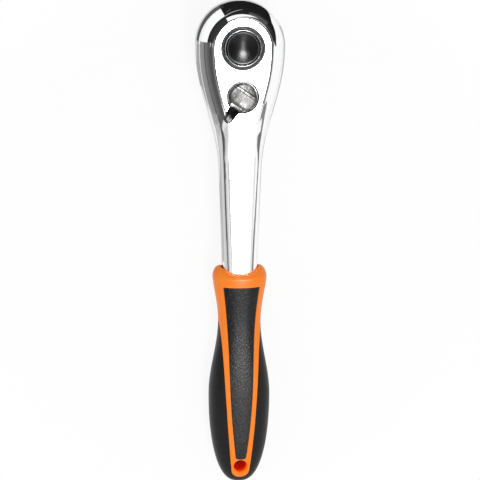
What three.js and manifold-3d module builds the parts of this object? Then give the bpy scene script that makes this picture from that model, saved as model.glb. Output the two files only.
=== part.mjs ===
// A half-inch socket ratchet: a chromed pear head with a quick-release button and a reversing lever,
// on a two-shot handle of orange plastic and black rubber.
// Millimetres. The origin is the centre of the square drive's end face, +Z runs up the drive axis
// to the button, +Y points to the nose of the head, and the handle runs along -Y.
import * as THREE from "three";
import { mergeVertices } from "three/addons/utils/BufferGeometryUtils.js";
import Module from "manifold-3d";

const wasm = await Module();
wasm.setup();

const { degToRad, lerp, smoothstep } = THREE.MathUtils;

// Clearances
const RUNNING_GAP = 0.3;
const SNUG_GAP = 0.15;
const BALL_GAP = 0.05;
const MOULD_GAP = 0.2;

// Square drive and its collar
const SQUARE_SIDE = 12.7;
const SQUARE_LENGTH = 15.5;
const SQUARE_CORNER = 1.1;
const SQUARE_CHAMFER = 0.9;
const COLLAR_RADIUS = 9.6;
const COLLAR_PROUD = 1;

// Gear and hub
const GEAR_TEETH = 48;
const GEAR_TIP_RADIUS = 13.6;
const TOOTH_DEPTH = 0.85;
const TOOTH_FLAT = 0.18;
const GEAR_WIDTH = 12;
const HUB_RADIUS = 9.1;
const HUB_PROUD = 0.4;
const HUB_CHAMFER = 0.3;

// Head of the forging
const HEAD_RADIUS = 21.9;
const TOP_WALL = 9;
const HUB_COUNTERSINK = 1.7;
const COVER_THICKNESS = 2.4;
const COVER_MARGIN = 4.1;
const COVER_TAIL_RADIUS = 15.5;
const COVER_TAIL_BACK = 18;
const HEAD_EDGE = { shoulder: 6.2, drop: 8.6, rim: 1.8, rimDrop: 0.6, foot: 3.2, footRise: 4 };

// Neck and shank of the forging
const NECK_START = -36;
const NECK_END = -60;
const NECK_WIDTH = 21.2;
const CHEEK_FULLNESS = 0.67;
const NECK_FULLNESS = 1.18;
const SHANK_END_WIDTH = 17.6;
const SHANK_THICKNESS = 14;
const SHANK_SEAT = 2;
const SHANK_EDGE = { shoulder: 3.6, drop: 4.6, rim: 0.4, rimDrop: 0.1, foot: 3.8, footRise: 4.6 };
const TANG_WIDTH = 12;
const TANG_THICKNESS = 9;
const TANG_LENGTH = 66;
const TANG_NOTCHES = 3;
const TANG_NOTCH_RADIUS = 2;
const TANG_NOTCH_DEPTH = 1.2;
const TANG_EDGE = { shoulder: 1, drop: 1, rim: 0.2, rimDrop: 0.1, foot: 1.2, footRise: 1.1 };

// Quick release
const BUTTON_RADIUS = 8.2;
const BUTTON_HEIGHT = 3.6;
const BUTTON_PROUD = 0.5;
const BUTTON_DISH_RADIUS = 6.9;
const BUTTON_DISH_DEPTH = 1.6;
const BUTTON_WEB = 1;
const BUTTON_EDGE = 0.7;
const BUTTON_TRAVEL = 3;
const BUTTON_BOSS_RADIUS = 3.4;
const BUTTON_BOSS_HEIGHT = 2;
const BUTTON_SPRING_RADIUS = 4.6;
const BUTTON_SPRING_WIRE = 0.9;
const BUTTON_SPRING_TURNS = 6;
const SPRING_POCKET_DEPTH = 8;
const BALL_RADIUS = 2.5;
const BALL_HEIGHT = 7.4;
const BALL_PROUD = 0.9;
const BALL_LIP = 0.45;
const RAMP_LEAD = 0.5;
const PIN_FLOOR = 2.2;
const HUB_RING_WIRE = 1;

// Reversing lever
const LEVER_OFFSET = 24.4;
const LEVER_ANGLE = 35;
const LEVER_DISC_RADIUS = 7;
const LEVER_RECESS_GAP = 0.5;
const LEVER_RECESS_DEPTH = 3;
const LEVER_REACH = 15;
const LEVER_WAIST_HALF_WIDTH = 3.1;
const LEVER_LEAVES_DISC = 48;
const LEVER_TIP_RADIUS = 2.3;
const LEVER_RIDGE_BACK = 2.8;
const LEVER_RIDGE_HEIGHT = 1.7;
const LEVER_RIDGE_WIDTH = 0.8;
const LEVER_RIDGE_FOOT = 0.4;
const LEVER_SADDLE_HEIGHT = 1.2;
const LEVER_SADDLE_SAG = 0.4;
const LEVER_TIP_HEIGHT = 2.8;
const LEVER_TIP_CROWN = 0.3;
const LEVER_TIP_UNDERCUT = 0.6;
const LEVER_TAB_LIFT = 0.5;
const LEVER_SEGMENT_HEIGHT = 0.7;
const SPINDLE_RADIUS = 3.6;
const LEVER_RING_WIRE = 1;
const CLIP_THICKNESS = 0.7;
const CLIP_WIDTH = 1.9;
const CLIP_GROOVE = 0.6;
const CLIP_OPENING = 70;

// Pawl and plunger
const PIVOT_STANDOFF = 2.8;
const PIVOT_RADIUS = 1.1;
const PAWL_HEIGHT = 6.4;
const PAWL_TEETH = 3;
const PAWL_FIRST_SPACE = 4;
const PAWL_ARM = 3;
const TOOTH_MESH_GAP = 0.2;
const TOOTH_CLEAR = 0.35;
const PAWL_HORN = { x: 1, y: 0.5 };
const PLUNGER_OVERSWING = 6;
const HORN_ROOM = 2.8;
const PLUNGER_RADIUS = 1.4;
const PLUNGER_WALL = 0.35;
const PLUNGER_REACH = 4.8;
const PLUNGER_LENGTH = 5.6;
const PLUNGER_SPRING_WIRE = 0.4;
const PLUNGER_SPRING_TURNS = 5.5;
const SPINDLE_WALL = 1;

// Cover screws
const SCREW_RADIUS = 1.5;
const SCREW_HEAD_RADIUS = 2.7;
const SCREW_LENGTH = 8;
const SCREW_EDGE = 4;
const SCREW_BACK = 3.5;
const SCREW_SLOT = 0.7;
const SCREW_SLOT_LENGTH = 3.5;

// Handle
const HANDLE_START = -111.6;
const HANDLE_LENGTH = 115;
const COLLAR_WIDTH = 27.4;
const COLLAR_THICKNESS = 24.8;
const COLLAR_DEPTH = 6.4;
const MOUTH_LIP = 0.6;
const MOUTH_SCOOP = 3.6;
const WAIST_WIDTH = 21.6;
const WAIST_THICKNESS = 20;
const WAIST_FROM_START = 30;
const BELLY_WIDTH = 31.2;
const BELLY_THICKNESS = 26.4;
const BELLY_FROM_START = 68;
const HANDLE_SQUARENESS = 2.3;
const RUBBER = 2.4;
const FRAME_FLARE_FROM_START = 22.4;
const FRAME_TOP_HALF_WIDTH = 12.5;
const FRAME_UPPER_PULL_HALF_WIDTH = 8.2;
const FRAME_UPPER_PULL_FROM_START = 34.4;
const FRAME_LOWER_PULL_HALF_WIDTH = 9.6;
const FRAME_LOWER_PULL_FROM_START = 60.4;
const TONGUE_HALF_WIDTH = 4.6;
const TONGUE_ROUND = 4;
const TONGUE_FROM_END = 3.6;
const PANEL_FROM_START = 10;
const PANEL_TOP_HALF_WIDTH = 9.3;
const PANEL_UPPER_PULL_HALF_WIDTH = 4.4;
const PANEL_UPPER_PULL_FROM_START = 46.4;
const PANEL_LOWER_PULL_HALF_WIDTH = 8;
const PANEL_LOWER_PULL_FROM_START = 58.4;
const PANEL_END_HALF_WIDTH = 2.7;
const PANEL_END_ROUND = 1;
const PANEL_TO_HOLE = 1;
const CENTRE_FLAT = 0.3;
const HANG_HOLE_RADIUS = 3.4;
const HANG_HOLE_FROM_END = 9.8;

// Facets
const ROUND = 36;
const SMALL_ROUND = 20;
const NOSE_STEPS = 8;
const NECK_STEPS = 10;
const SHANK_STEPS = 3;
const ARC_STEPS = 16;
const WIRE_SIDES = 6;
const DISH_STEPS = 5;
const HOLLOW_STEPS = 5;
const PLAN_STEPS = 9;
const HANDLE_POINTS = 24;

// Levels and places worked out from the sizes above
const HEAD_BOTTOM = SQUARE_LENGTH + COLLAR_PROUD;
const COVER_TOP = HEAD_BOTTOM + COVER_THICKNESS;
const GEAR_BOTTOM = COVER_TOP + RUNNING_GAP;
const GEAR_TOP = GEAR_BOTTOM + GEAR_WIDTH;
const POCKET_TOP = GEAR_TOP + RUNNING_GAP;
const HEAD_TOP = POCKET_TOP + TOP_WALL;
const MID_PLANE = (HEAD_BOTTOM + HEAD_TOP) / 2;
const GEAR_PITCH = 360 / GEAR_TEETH;
const GEAR_ROOT_RADIUS = GEAR_TIP_RADIUS - TOOTH_DEPTH;
const BUTTON_TOP = HEAD_TOP + BUTTON_PROUD;
const BUTTON_BOTTOM = BUTTON_TOP - BUTTON_HEIGHT;
const COUNTERBORE_FLOOR = BUTTON_BOTTOM - BUTTON_TRAVEL - RUNNING_GAP;
const SPRING_FLOOR = COUNTERBORE_FLOOR - SPRING_POCKET_DEPTH;
const BALL_X = SQUARE_SIDE / 2 + BALL_PROUD - BALL_RADIUS;
const PIN_RADIUS = BALL_X - BALL_RADIUS - BALL_GAP;
const PIN_TOP = BUTTON_TOP - BUTTON_DISH_DEPTH - BUTTON_WEB;
const RECESS_FLOOR = HEAD_TOP - LEVER_RECESS_DEPTH;
const PAWL_BOTTOM = COVER_TOP + RUNNING_GAP;
const PAWL_TOP = PAWL_BOTTOM + PAWL_HEIGHT;
const PAWL_CEILING = PAWL_TOP + RUNNING_GAP;
const CLIP_TOP = PAWL_CEILING + CLIP_THICKNESS + RUNNING_GAP;
const CLIP_CEILING = CLIP_TOP + RUNNING_GAP;
const PLUNGER_LEVEL = (PAWL_BOTTOM + PAWL_TOP) / 2;
const PIVOT_DISTANCE = GEAR_TIP_RADIUS + PIVOT_STANDOFF;
const HANDLE_END = HANDLE_START - HANDLE_LENGTH;
const COLLAR_AT = HANDLE_START - COLLAR_DEPTH;
const WAIST_AT = HANDLE_START - WAIST_FROM_START;
const BELLY_AT = HANDLE_START - BELLY_FROM_START;
const TANG_START = COLLAR_AT - SHANK_SEAT;
const TANG_END = TANG_START - TANG_LENGTH;
const THROUGH = 60;
const CUT_PAST = 1;

// Turning geometry into solids and back, for joins and cuts only

function solidOf(geometry) {
  const bare = geometry.clone();
  bare.deleteAttribute("normal");
  bare.deleteAttribute("uv");
  const merged = mergeVertices(bare, 1e-4);
  const index = merged.index.array;
  const kept = [];
  for (let i = 0; i < index.length; i += 3) {
    const [a, b, c] = [index[i], index[i + 1], index[i + 2]];
    if (a !== b && b !== c && c !== a) kept.push(a, b, c);
  }
  const mesh = new wasm.Mesh({
    numProp: 3,
    vertProperties: merged.attributes.position.array,
    triVerts: new Uint32Array(kept),
  });
  return new wasm.Manifold(mesh);
}

function geometryOf(solid) {
  const mesh = solid.getMesh();
  const geometry = new THREE.BufferGeometry();
  geometry.setAttribute("position", new THREE.BufferAttribute(mesh.vertProperties, 3));
  geometry.setIndex(new THREE.BufferAttribute(mesh.triVerts, 1));
  geometry.computeVertexNormals();
  return geometry;
}

function join(...pieces) {
  return geometryOf(pieces.map(solidOf).reduce((sum, piece) => sum.add(piece)));
}

function cut(base, ...tools) {
  return geometryOf(tools.map(solidOf).reduce((rest, tool) => rest.subtract(tool), solidOf(base)));
}

function common(a, b) {
  return geometryOf(solidOf(a).intersect(solidOf(b)));
}

// Shapes used throughout

function turned(profile, segments = ROUND) {
  const points = profile.map(([r, z]) => new THREE.Vector2(r, z));
  return new THREE.LatheGeometry(points, segments).rotateX(Math.PI / 2);
}

function cylinder(radius, bottom, top, segments = ROUND) {
  return turned([[0, bottom], [radius, bottom], [radius, top], [0, top]], segments);
}

function prism(shape, bottom, top, curveSegments = ARC_STEPS) {
  const options = { depth: top - bottom, bevelEnabled: false, curveSegments };
  return new THREE.ExtrudeGeometry(shape, options).translate(0, 0, bottom);
}

function polar(radius, degrees) {
  const angle = degToRad(degrees);
  return new THREE.Vector2(radius * Math.cos(angle), radius * Math.sin(angle));
}

function mirrored(points) {
  return points.map((p) => new THREE.Vector2(-p.x, p.y)).reverse();
}

// Closed rings of equal count, joined in order; each ring runs from +X round by +Z.
function loft(rings, capStart, capEnd) {
  const count = rings[0].length;
  const vertices = rings.flat();
  const faces = [];
  for (let i = 0; i + 1 < rings.length; i++) {
    for (let j = 0; j < count; j++) {
      const next = (j + 1) % count;
      const [a, b] = [i * count + j, i * count + next];
      const [c, d] = [b + count, a + count];
      faces.push(a, b, c, a, c, d);
    }
  }
  const addCap = (ring, offset, turn) => {
    const centre = ring.reduce((sum, p) => sum.add(p), new THREE.Vector3()).divideScalar(count);
    vertices.push(centre);
    for (let j = 0; j < count; j++) {
      const pair = [offset + j, offset + ((j + 1) % count)];
      if (turn) pair.reverse();
      faces.push(vertices.length - 1, ...pair);
    }
  };
  if (capStart) addCap(rings[0], 0, true);
  if (capEnd) addCap(rings[rings.length - 1], (rings.length - 1) * count, false);
  const geometry = new THREE.BufferGeometry().setFromPoints(vertices);
  return geometry.setIndex(faces);
}

class Helix extends THREE.Curve {
  constructor(radius, height, turns) {
    super();
    Object.assign(this, { radius, height, turns });
  }

  getPoint(t, target = new THREE.Vector3()) {
    const { x, y } = polar(this.radius, 360 * this.turns * t);
    return target.set(x, y, this.height * t);
  }
}

const STEPS_PER_TURN = 8;

// An open coil spring standing on z = 0, with its wire inside the height given.
function coilSpring(name, radius, wire, height, turns) {
  const curve = new Helix(radius, height - wire, turns);
  const section = new THREE.Shape();
  section.setFromPoints([0, 1, 2, 3, 4].map((side) => polar(wire / 2, 72 * side)));
  const steps = Math.round(turns * STEPS_PER_TURN);
  reportSelfGap(name, curve.getPoints(steps), wire);
  const options = { steps, bevelEnabled: false, extrudePath: curve };
  return new THREE.ExtrudeGeometry(section, options).translate(0, 0, wire / 2);
}

function reportSelfGap(name, points, wire) {
  let least = Infinity;
  for (let i = 0; i < points.length; i++) {
    for (let j = i + STEPS_PER_TURN / 2; j < points.length; j++) {
      least = Math.min(least, points[i].distanceTo(points[j]) - wire);
    }
  }
  console.log(`${name}: least gap to itself ${least.toFixed(2)} mm`);
}

// The forging: head, neck, shank and tang in one loft

const HEAD_SECTION = { top: HEAD_TOP, bottom: HEAD_BOTTOM, ...HEAD_EDGE };
const SHANK_SECTION = { ...levelsOf(SHANK_THICKNESS), ...SHANK_EDGE };
const TANG_SECTION = { ...levelsOf(TANG_THICKNESS), ...TANG_EDGE };
const SHOULDER_SWEEP = degToRad(62);
const SHOULDER_STEPS = 5;
const FOOT_STEPS = 3;

function levelsOf(thickness) {
  return { top: MID_PLANE + thickness / 2, bottom: MID_PLANE - thickness / 2 };
}

function sectionBetween(y) {
  const t = 1 - smoothstep(y, NECK_END, NECK_START);
  const names = Object.keys(HEAD_SECTION);
  return Object.fromEntries(names.map((key) => [key, lerp(HEAD_SECTION[key], SHANK_SECTION[key], t)]));
}

// Half a section as pairs: how far in from the plan outline, and how high.
function sectionRows(section) {
  const rows = [];
  for (let i = 0; i <= FOOT_STEPS; i++) {
    const a = (Math.PI / 2) * (1 - i / FOOT_STEPS);
    rows.push([section.foot * (1 - Math.cos(a)), section.bottom + section.footRise * (1 - Math.sin(a))]);
  }
  const shoulderTop = section.top - section.rimDrop;
  for (let i = 0; i <= SHOULDER_STEPS; i++) {
    const a = (SHOULDER_SWEEP * i) / SHOULDER_STEPS;
    const inward = (1 - Math.cos(a)) / (1 - Math.cos(SHOULDER_SWEEP));
    const upward = Math.sin(a) / Math.sin(SHOULDER_SWEEP);
    rows.push([section.shoulder * inward, shoulderTop - section.drop * (1 - upward)]);
  }
  rows.push([section.shoulder + section.rim, section.top]);
  return rows;
}

function forgingRing({ x, y, nx, ny, section }, grow) {
  const right = sectionRows(section).map(([inset, z]) => {
    const out = grow - inset;
    const raised = z + grow * Math.sign(z - MID_PLANE);
    return new THREE.Vector3(x + nx * out, y + ny * out, raised);
  });
  const left = right.map((p) => new THREE.Vector3(-p.x, p.y, p.z)).reverse();
  return [...right, ...left];
}

function noseStations() {
  return Array.from({ length: NOSE_STEPS }, (_, i) => {
    const { x: nx, y: ny } = polar(1, 90 - (90 * i) / NOSE_STEPS);
    const along = Math.abs(nx) < 1e-9 ? 0 : nx;
    return { x: HEAD_RADIUS * along, y: HEAD_RADIUS * ny, nx: along, ny, section: HEAD_SECTION };
  });
}

function neckStations() {
  const side = new THREE.CubicBezierCurve(
    new THREE.Vector2(HEAD_RADIUS, 0),
    new THREE.Vector2(HEAD_RADIUS, NECK_START * CHEEK_FULLNESS),
    new THREE.Vector2((NECK_WIDTH / 2) * NECK_FULLNESS, NECK_START),
    new THREE.Vector2(NECK_WIDTH / 2, NECK_END),
  );
  return Array.from({ length: NECK_STEPS + 1 }, (_, i) => {
    const { x, y } = side.getPoint(i / NECK_STEPS);
    const along = side.getTangent(i / NECK_STEPS);
    return { x, y, nx: -along.y, ny: along.x, section: sectionBetween(y) };
  });
}

function shankStation(y) {
  const share = (y - NECK_END) / (HANDLE_START - NECK_END);
  return { x: lerp(NECK_WIDTH, SHANK_END_WIDTH, share) / 2, y, nx: 1, ny: 0, section: SHANK_SECTION };
}

function shankStations(start, end) {
  return Array.from({ length: SHANK_STEPS }, (_, i) => shankStation(lerp(start, end, (i + 1) / SHANK_STEPS)));
}

function tangStations(gap) {
  const station = (y) => ({ x: TANG_WIDTH / 2, y: y - gap, nx: 1, ny: 0, section: TANG_SECTION });
  return [station(TANG_START - SNUG_GAP), station(TANG_END)];
}

function tangNotches(gap) {
  const reach = TANG_WIDTH / 2 - TANG_NOTCH_DEPTH + TANG_NOTCH_RADIUS;
  const cutters = [];
  for (let i = 1; i <= TANG_NOTCHES; i++) {
    const y = lerp(TANG_START, TANG_END, i / (TANG_NOTCHES + 1));
    const notch = cylinder(TANG_NOTCH_RADIUS - gap, MID_PLANE - THROUGH, MID_PLANE + THROUGH, SMALL_ROUND);
    cutters.push(notch.clone().translate(reach, y, 0), notch.translate(-reach, y, 0));
  }
  return cutters;
}

// The space that the moulded core leaves for shank and tang.
function tangSocket() {
  const stations = [
    shankStation(HANDLE_START + COLLAR_DEPTH),
    ...shankStations(HANDLE_START, TANG_START - MOULD_GAP),
    ...tangStations(MOULD_GAP),
  ];
  const rings = stations.map((station) => forgingRing(station, MOULD_GAP));
  return cut(loft(rings, true, true), ...tangNotches(MOULD_GAP));
}

// A pear outline round two circles on the centre line, the smaller one toward the handle.
function coverOutline(grow) {
  const nose = HEAD_RADIUS - COVER_MARGIN + grow;
  const tail = COVER_TAIL_RADIUS + grow;
  const lean = Math.asin((nose - tail) / COVER_TAIL_BACK);
  const shape = new THREE.Shape();
  shape.absarc(0, 0, nose, -lean, Math.PI + lean, false);
  shape.absarc(0, -COVER_TAIL_BACK, tail, Math.PI + lean, 2 * Math.PI - lean, false);
  shape.closePath();
  return shape;
}

function screwPlaces() {
  const x = COVER_TAIL_RADIUS - SCREW_EDGE;
  const y = -COVER_TAIL_BACK - SCREW_BACK;
  return { left: [-x, y, 0], right: [x, y, 0] };
}

const PAWL_SWING_RADIUS = GEAR_TIP_RADIUS + PAWL_ARM + 2 * (TOOTH_DEPTH + TOOTH_CLEAR) + RUNNING_GAP;

function pawlPocket() {
  const reach = (PAWL_FIRST_SPACE + PAWL_TEETH + 1) * GEAR_PITCH;
  const start = polar(PAWL_SWING_RADIUS, -90 - reach);
  const sector = new THREE.Shape();
  sector.moveTo(0, 0);
  sector.lineTo(start.x, start.y);
  sector.absarc(0, 0, PAWL_SWING_RADIUS, degToRad(-90 - reach), degToRad(-90 + reach), false);
  sector.closePath();
  const horns = PLUNGER_REACH + HORN_ROOM;
  return [
    prism(sector, HEAD_BOTTOM, PAWL_CEILING),
    cylinder(horns, HEAD_BOTTOM, PAWL_CEILING).translate(0, -LEVER_OFFSET, 0),
  ];
}

function ratchetBody() {
  const shank = shankStations(NECK_END, TANG_START);
  const stations = [...noseStations(), ...neckStations(), ...shank, ...tangStations(0)];
  const forging = loft(stations.map((station) => forgingRing(station, 0)), false, true);
  const hubBore = HUB_RADIUS + RUNNING_GAP;
  const sunk = hubBore + HUB_COUNTERSINK;
  const hubHole = turned([
    [0, GEAR_TOP],
    [hubBore, GEAR_TOP],
    [hubBore, HEAD_TOP - HUB_COUNTERSINK],
    [sunk, HEAD_TOP],
    [sunk, HEAD_TOP + CUT_PAST],
    [0, HEAD_TOP + CUT_PAST],
  ]);
  const lever = [
    cylinder(SPINDLE_RADIUS + SNUG_GAP, PAWL_BOTTOM, HEAD_TOP, SMALL_ROUND),
    cylinder(LEVER_DISC_RADIUS + LEVER_RECESS_GAP, RECESS_FLOOR, HEAD_TOP + CUT_PAST),
    cylinder(SPINDLE_RADIUS + CLIP_WIDTH + RUNNING_GAP, PAWL_BOTTOM, CLIP_CEILING),
  ].map((tool) => tool.translate(0, -LEVER_OFFSET, 0));
  const screwEnd = HEAD_BOTTOM + SCREW_LENGTH + CUT_PAST;
  const screwHole = cylinder(SCREW_RADIUS + SNUG_GAP, HEAD_BOTTOM, screwEnd, SMALL_ROUND);
  const screws = Object.values(screwPlaces()).map((place) => screwHole.clone().translate(...place));
  return cut(
    forging,
    prism(coverOutline(SNUG_GAP), HEAD_BOTTOM - CUT_PAST, COVER_TOP),
    cylinder(GEAR_TIP_RADIUS + RUNNING_GAP, HEAD_BOTTOM, POCKET_TOP),
    hubHole,
    ...pawlPocket(),
    ...lever,
    cylinder(PIVOT_RADIUS + SNUG_GAP, PAWL_BOTTOM, pivotPinTop() + SNUG_GAP, SMALL_ROUND)
      .translate(0, -PIVOT_DISTANCE, 0),
    ...screws,
    ...tangNotches(0),
  );
}

// Drive: gear, hub and square in one piece, with the quick release inside

// Points of the tooth row from one tooth tip to another, in degrees from the -Y line.
function toothRow(fromSpace, toSpace, grow) {
  const flat = GEAR_PITCH * TOOTH_FLAT / 2;
  const points = [];
  const add = (radius, degrees) => points.push(polar(radius + grow, -90 + degrees));
  for (let space = fromSpace; space <= toSpace; space++) {
    const middle = space * GEAR_PITCH;
    add(GEAR_TIP_RADIUS, middle - GEAR_PITCH / 2 + flat);
    add(GEAR_ROOT_RADIUS, middle - flat);
    add(GEAR_ROOT_RADIUS, middle + flat);
    add(GEAR_TIP_RADIUS, middle + GEAR_PITCH / 2 - flat);
  }
  return points;
}

function squareShape() {
  const half = SQUARE_SIDE / 2;
  const shape = new THREE.Shape();
  const corners = [[1, -1], [1, 1], [-1, 1], [-1, -1]];
  corners.forEach(([x, y], i) => {
    const inner = half - SQUARE_CORNER;
    const start = degToRad(90 * i - 90);
    shape.absarc(x * inner, y * inner, SQUARE_CORNER, start, start + Math.PI / 2, false);
  });
  shape.closePath();
  return shape;
}

function squareDrive() {
  const options = {
    depth: SQUARE_LENGTH + COLLAR_PROUD - SQUARE_CHAMFER,
    bevelThickness: SQUARE_CHAMFER,
    bevelSize: SQUARE_CHAMFER,
    bevelOffset: -SQUARE_CHAMFER,
    bevelSegments: 1,
    curveSegments: 4,
  };
  return new THREE.ExtrudeGeometry(squareShape(), options).translate(0, 0, SQUARE_CHAMFER);
}

function ballHole() {
  const lipPlane = SQUARE_SIDE / 2 - BALL_LIP;
  const lipRadius = Math.sqrt(BALL_RADIUS ** 2 - (lipPlane - BALL_X) ** 2) + 2 * BALL_GAP;
  const profile = [[0, 0], [BALL_RADIUS + SNUG_GAP, 0], [BALL_RADIUS + SNUG_GAP, lipPlane]];
  profile.push([lipRadius, lipPlane], [lipRadius, SQUARE_SIDE], [0, SQUARE_SIDE]);
  return turned(profile, SMALL_ROUND).rotateY(Math.PI / 2).translate(0, 0, BALL_HEIGHT);
}

function hubGroove() {
  const inner = HUB_RADIUS + RUNNING_GAP - HUB_RING_WIRE - 2 * BALL_GAP;
  const [low, high] = hubRingLevel().map((level, i) => level + (i ? BALL_GAP : -BALL_GAP));
  const outer = HUB_RADIUS + CUT_PAST;
  return turned([[inner, low], [outer, low], [outer, high], [inner, high], [inner, low]]);
}

function hubRingLevel() {
  const low = POCKET_TOP + RUNNING_GAP;
  return [low, low + HUB_RING_WIRE];
}

function driveGear() {
  const gear = new THREE.Shape(toothRow(0, GEAR_TEETH - 1, 0));
  const hubTop = HEAD_TOP + HUB_PROUD;
  const hub = turned([
    [0, GEAR_BOTTOM],
    [HUB_RADIUS, GEAR_BOTTOM],
    [HUB_RADIUS, hubTop - HUB_CHAMFER],
    [HUB_RADIUS - HUB_CHAMFER, hubTop],
    [0, hubTop],
  ]);
  const collar = turned([
    [0, SQUARE_LENGTH],
    [COLLAR_RADIUS - HUB_CHAMFER, SQUARE_LENGTH],
    [COLLAR_RADIUS, SQUARE_LENGTH + HUB_CHAMFER],
    [COLLAR_RADIUS, GEAR_BOTTOM + CUT_PAST],
    [0, GEAR_BOTTOM + CUT_PAST],
  ]);
  const release = turned([
    [0, PIN_FLOOR],
    [PIN_RADIUS + SNUG_GAP, PIN_FLOOR],
    [PIN_RADIUS + SNUG_GAP, SPRING_FLOOR],
    [springPocketRadius(), SPRING_FLOOR],
    [springPocketRadius(), COUNTERBORE_FLOOR],
    [BUTTON_RADIUS + SNUG_GAP, COUNTERBORE_FLOOR],
    [BUTTON_RADIUS + SNUG_GAP, hubTop + CUT_PAST],
    [0, hubTop + CUT_PAST],
  ]);
  return cut(
    join(prism(gear, GEAR_BOTTOM, GEAR_TOP), hub, collar, squareDrive()),
    release,
    ballHole(),
    hubGroove(),
  );
}

function springPocketRadius() {
  return BUTTON_SPRING_RADIUS + BUTTON_SPRING_WIRE / 2 + RUNNING_GAP;
}

function releaseButton() {
  const rim = BUTTON_TOP;
  const dish = [];
  for (let i = 0; i <= DISH_STEPS; i++) {
    const t = 1 - i / DISH_STEPS;
    dish.push([BUTTON_DISH_RADIUS * t, rim - BUTTON_DISH_DEPTH * Math.cos((Math.PI / 2) * t)]);
  }
  const edge = [0, 45, 90].map((degrees) => {
    const { x, y } = polar(BUTTON_EDGE, degrees);
    return [BUTTON_RADIUS - BUTTON_EDGE + x, rim - BUTTON_EDGE + y];
  });
  const boss = BUTTON_BOTTOM - BUTTON_BOSS_HEIGHT;
  const bore = PIN_RADIUS + SNUG_GAP;
  return turned([
    [0, PIN_TOP + SNUG_GAP],
    [bore, PIN_TOP + SNUG_GAP],
    [bore, boss],
    [BUTTON_BOSS_RADIUS, boss],
    [BUTTON_BOSS_RADIUS, BUTTON_BOTTOM],
    [BUTTON_RADIUS, BUTTON_BOTTOM],
    ...edge,
    ...dish,
  ]);
}

// The ramp falls away as fast as the ball retracts, so the ball follows the button.
function releasePin() {
  const slope = BALL_PROUD / BUTTON_TRAVEL;
  const rampStart = BALL_HEIGHT - RAMP_LEAD;
  const rampLength = BUTTON_TRAVEL + 2 * RAMP_LEAD;
  const neck = PIN_RADIUS - slope * rampLength;
  const neckEnd = rampStart + rampLength + BALL_RADIUS;
  const tip = PIN_FLOOR + BUTTON_TRAVEL + RUNNING_GAP;
  return turned([
    [0, tip],
    [PIN_RADIUS, tip],
    [PIN_RADIUS, rampStart],
    [neck, rampStart + rampLength],
    [neck, neckEnd],
    [PIN_RADIUS, neckEnd + PIN_RADIUS / 2],
    [PIN_RADIUS, PIN_TOP],
    [0, PIN_TOP],
  ], SMALL_ROUND);
}

function buttonSpring() {
  const height = BUTTON_BOTTOM - SPRING_FLOOR - 2 * SNUG_GAP;
  const [radius, wire, turns] = [BUTTON_SPRING_RADIUS, BUTTON_SPRING_WIRE, BUTTON_SPRING_TURNS];
  return coilSpring("button_spring", radius, wire, height, turns).translate(0, 0, SPRING_FLOOR + SNUG_GAP);
}

function detentBall() {
  const ball = new THREE.SphereGeometry(BALL_RADIUS, SMALL_ROUND, SMALL_ROUND / 2);
  return ball.translate(BALL_X, 0, BALL_HEIGHT);
}

function sealRing(radius, wire, level) {
  return new THREE.TorusGeometry(radius, wire / 2, WIRE_SIDES, ROUND).translate(0, 0, level);
}

function hubSeal() {
  const [low, high] = hubRingLevel();
  const radius = HUB_RADIUS + RUNNING_GAP - HUB_RING_WIRE / 2 - BALL_GAP;
  return sealRing(radius, HUB_RING_WIRE, (low + high) / 2);
}

// Pawl, built in its neutral pose about its own pivot

const PAWL_MESH_ANGLE = (PAWL_FIRST_SPACE + (PAWL_TEETH - 1) / 2) * GEAR_PITCH;
const PAWL_PIVOT = new THREE.Vector2(0, -PIVOT_DISTANCE);
const PAWL_THROW = pawlThrow();

// How far the pawl rocks from neutral until its teeth sit in the gear.
function pawlThrow() {
  const middle = polar(GEAR_TIP_RADIUS, -90 + PAWL_MESH_ANGLE);
  return Math.asin((TOOTH_DEPTH + TOOTH_CLEAR) / middle.distanceTo(PAWL_PIVOT));
}

// The working edge of one arm: clear of the gear near the pivot, then toothed.
function pawlWorkingEdge() {
  const firstTooth = (PAWL_FIRST_SPACE - 0.5) * GEAR_PITCH;
  const clearRadius = GEAR_TIP_RADIUS + RUNNING_GAP;
  const clear = [0.15, 0.5, 0.8].map((share) => polar(clearRadius, -90 + share * firstTooth));
  const teeth = toothRow(PAWL_FIRST_SPACE, PAWL_FIRST_SPACE + PAWL_TEETH - 1, TOOTH_MESH_GAP);
  return [...clear, ...teeth].map((p) => p.rotateAround(PAWL_PIVOT, -PAWL_THROW));
}

// The hollow in the pawl's back: the path of the plunger's tip as the pawl sees it.
function pawlHollow() {
  const axis = new THREE.Vector2(0, -LEVER_OFFSET);
  const points = [];
  for (let i = 0; i <= HOLLOW_STEPS; i++) {
    const lean = (LEVER_ANGLE + PLUNGER_OVERSWING) * (i / HOLLOW_STEPS);
    const rock = -PAWL_THROW * Math.min(1, lean / LEVER_ANGLE);
    const tip = polar(PLUNGER_REACH + RUNNING_GAP, 90 - lean).add(axis);
    points.push(tip.rotateAround(PAWL_PIVOT, rock));
  }
  return points;
}

function pawlOutline() {
  const endAngle = (PAWL_FIRST_SPACE + PAWL_TEETH - 0.4) * GEAR_PITCH;
  const outer = GEAR_TIP_RADIUS + PAWL_ARM;
  const hollow = pawlHollow();
  const horn = hollow[hollow.length - 1].clone().add(PAWL_HORN);
  const back = [0.35, 0.53, 0.7, 0.87].map((share) => polar(outer, -90 + share * endAngle));
  const end = polar(outer - PAWL_ARM / 2, -90 + endAngle).rotateAround(PAWL_PIVOT, -PAWL_THROW);
  const right = [...hollow.slice(1), horn, ...back, end, ...pawlWorkingEdge().reverse()];
  return new THREE.Shape([hollow[0], ...right, ...mirrored(right)]);
}

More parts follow.
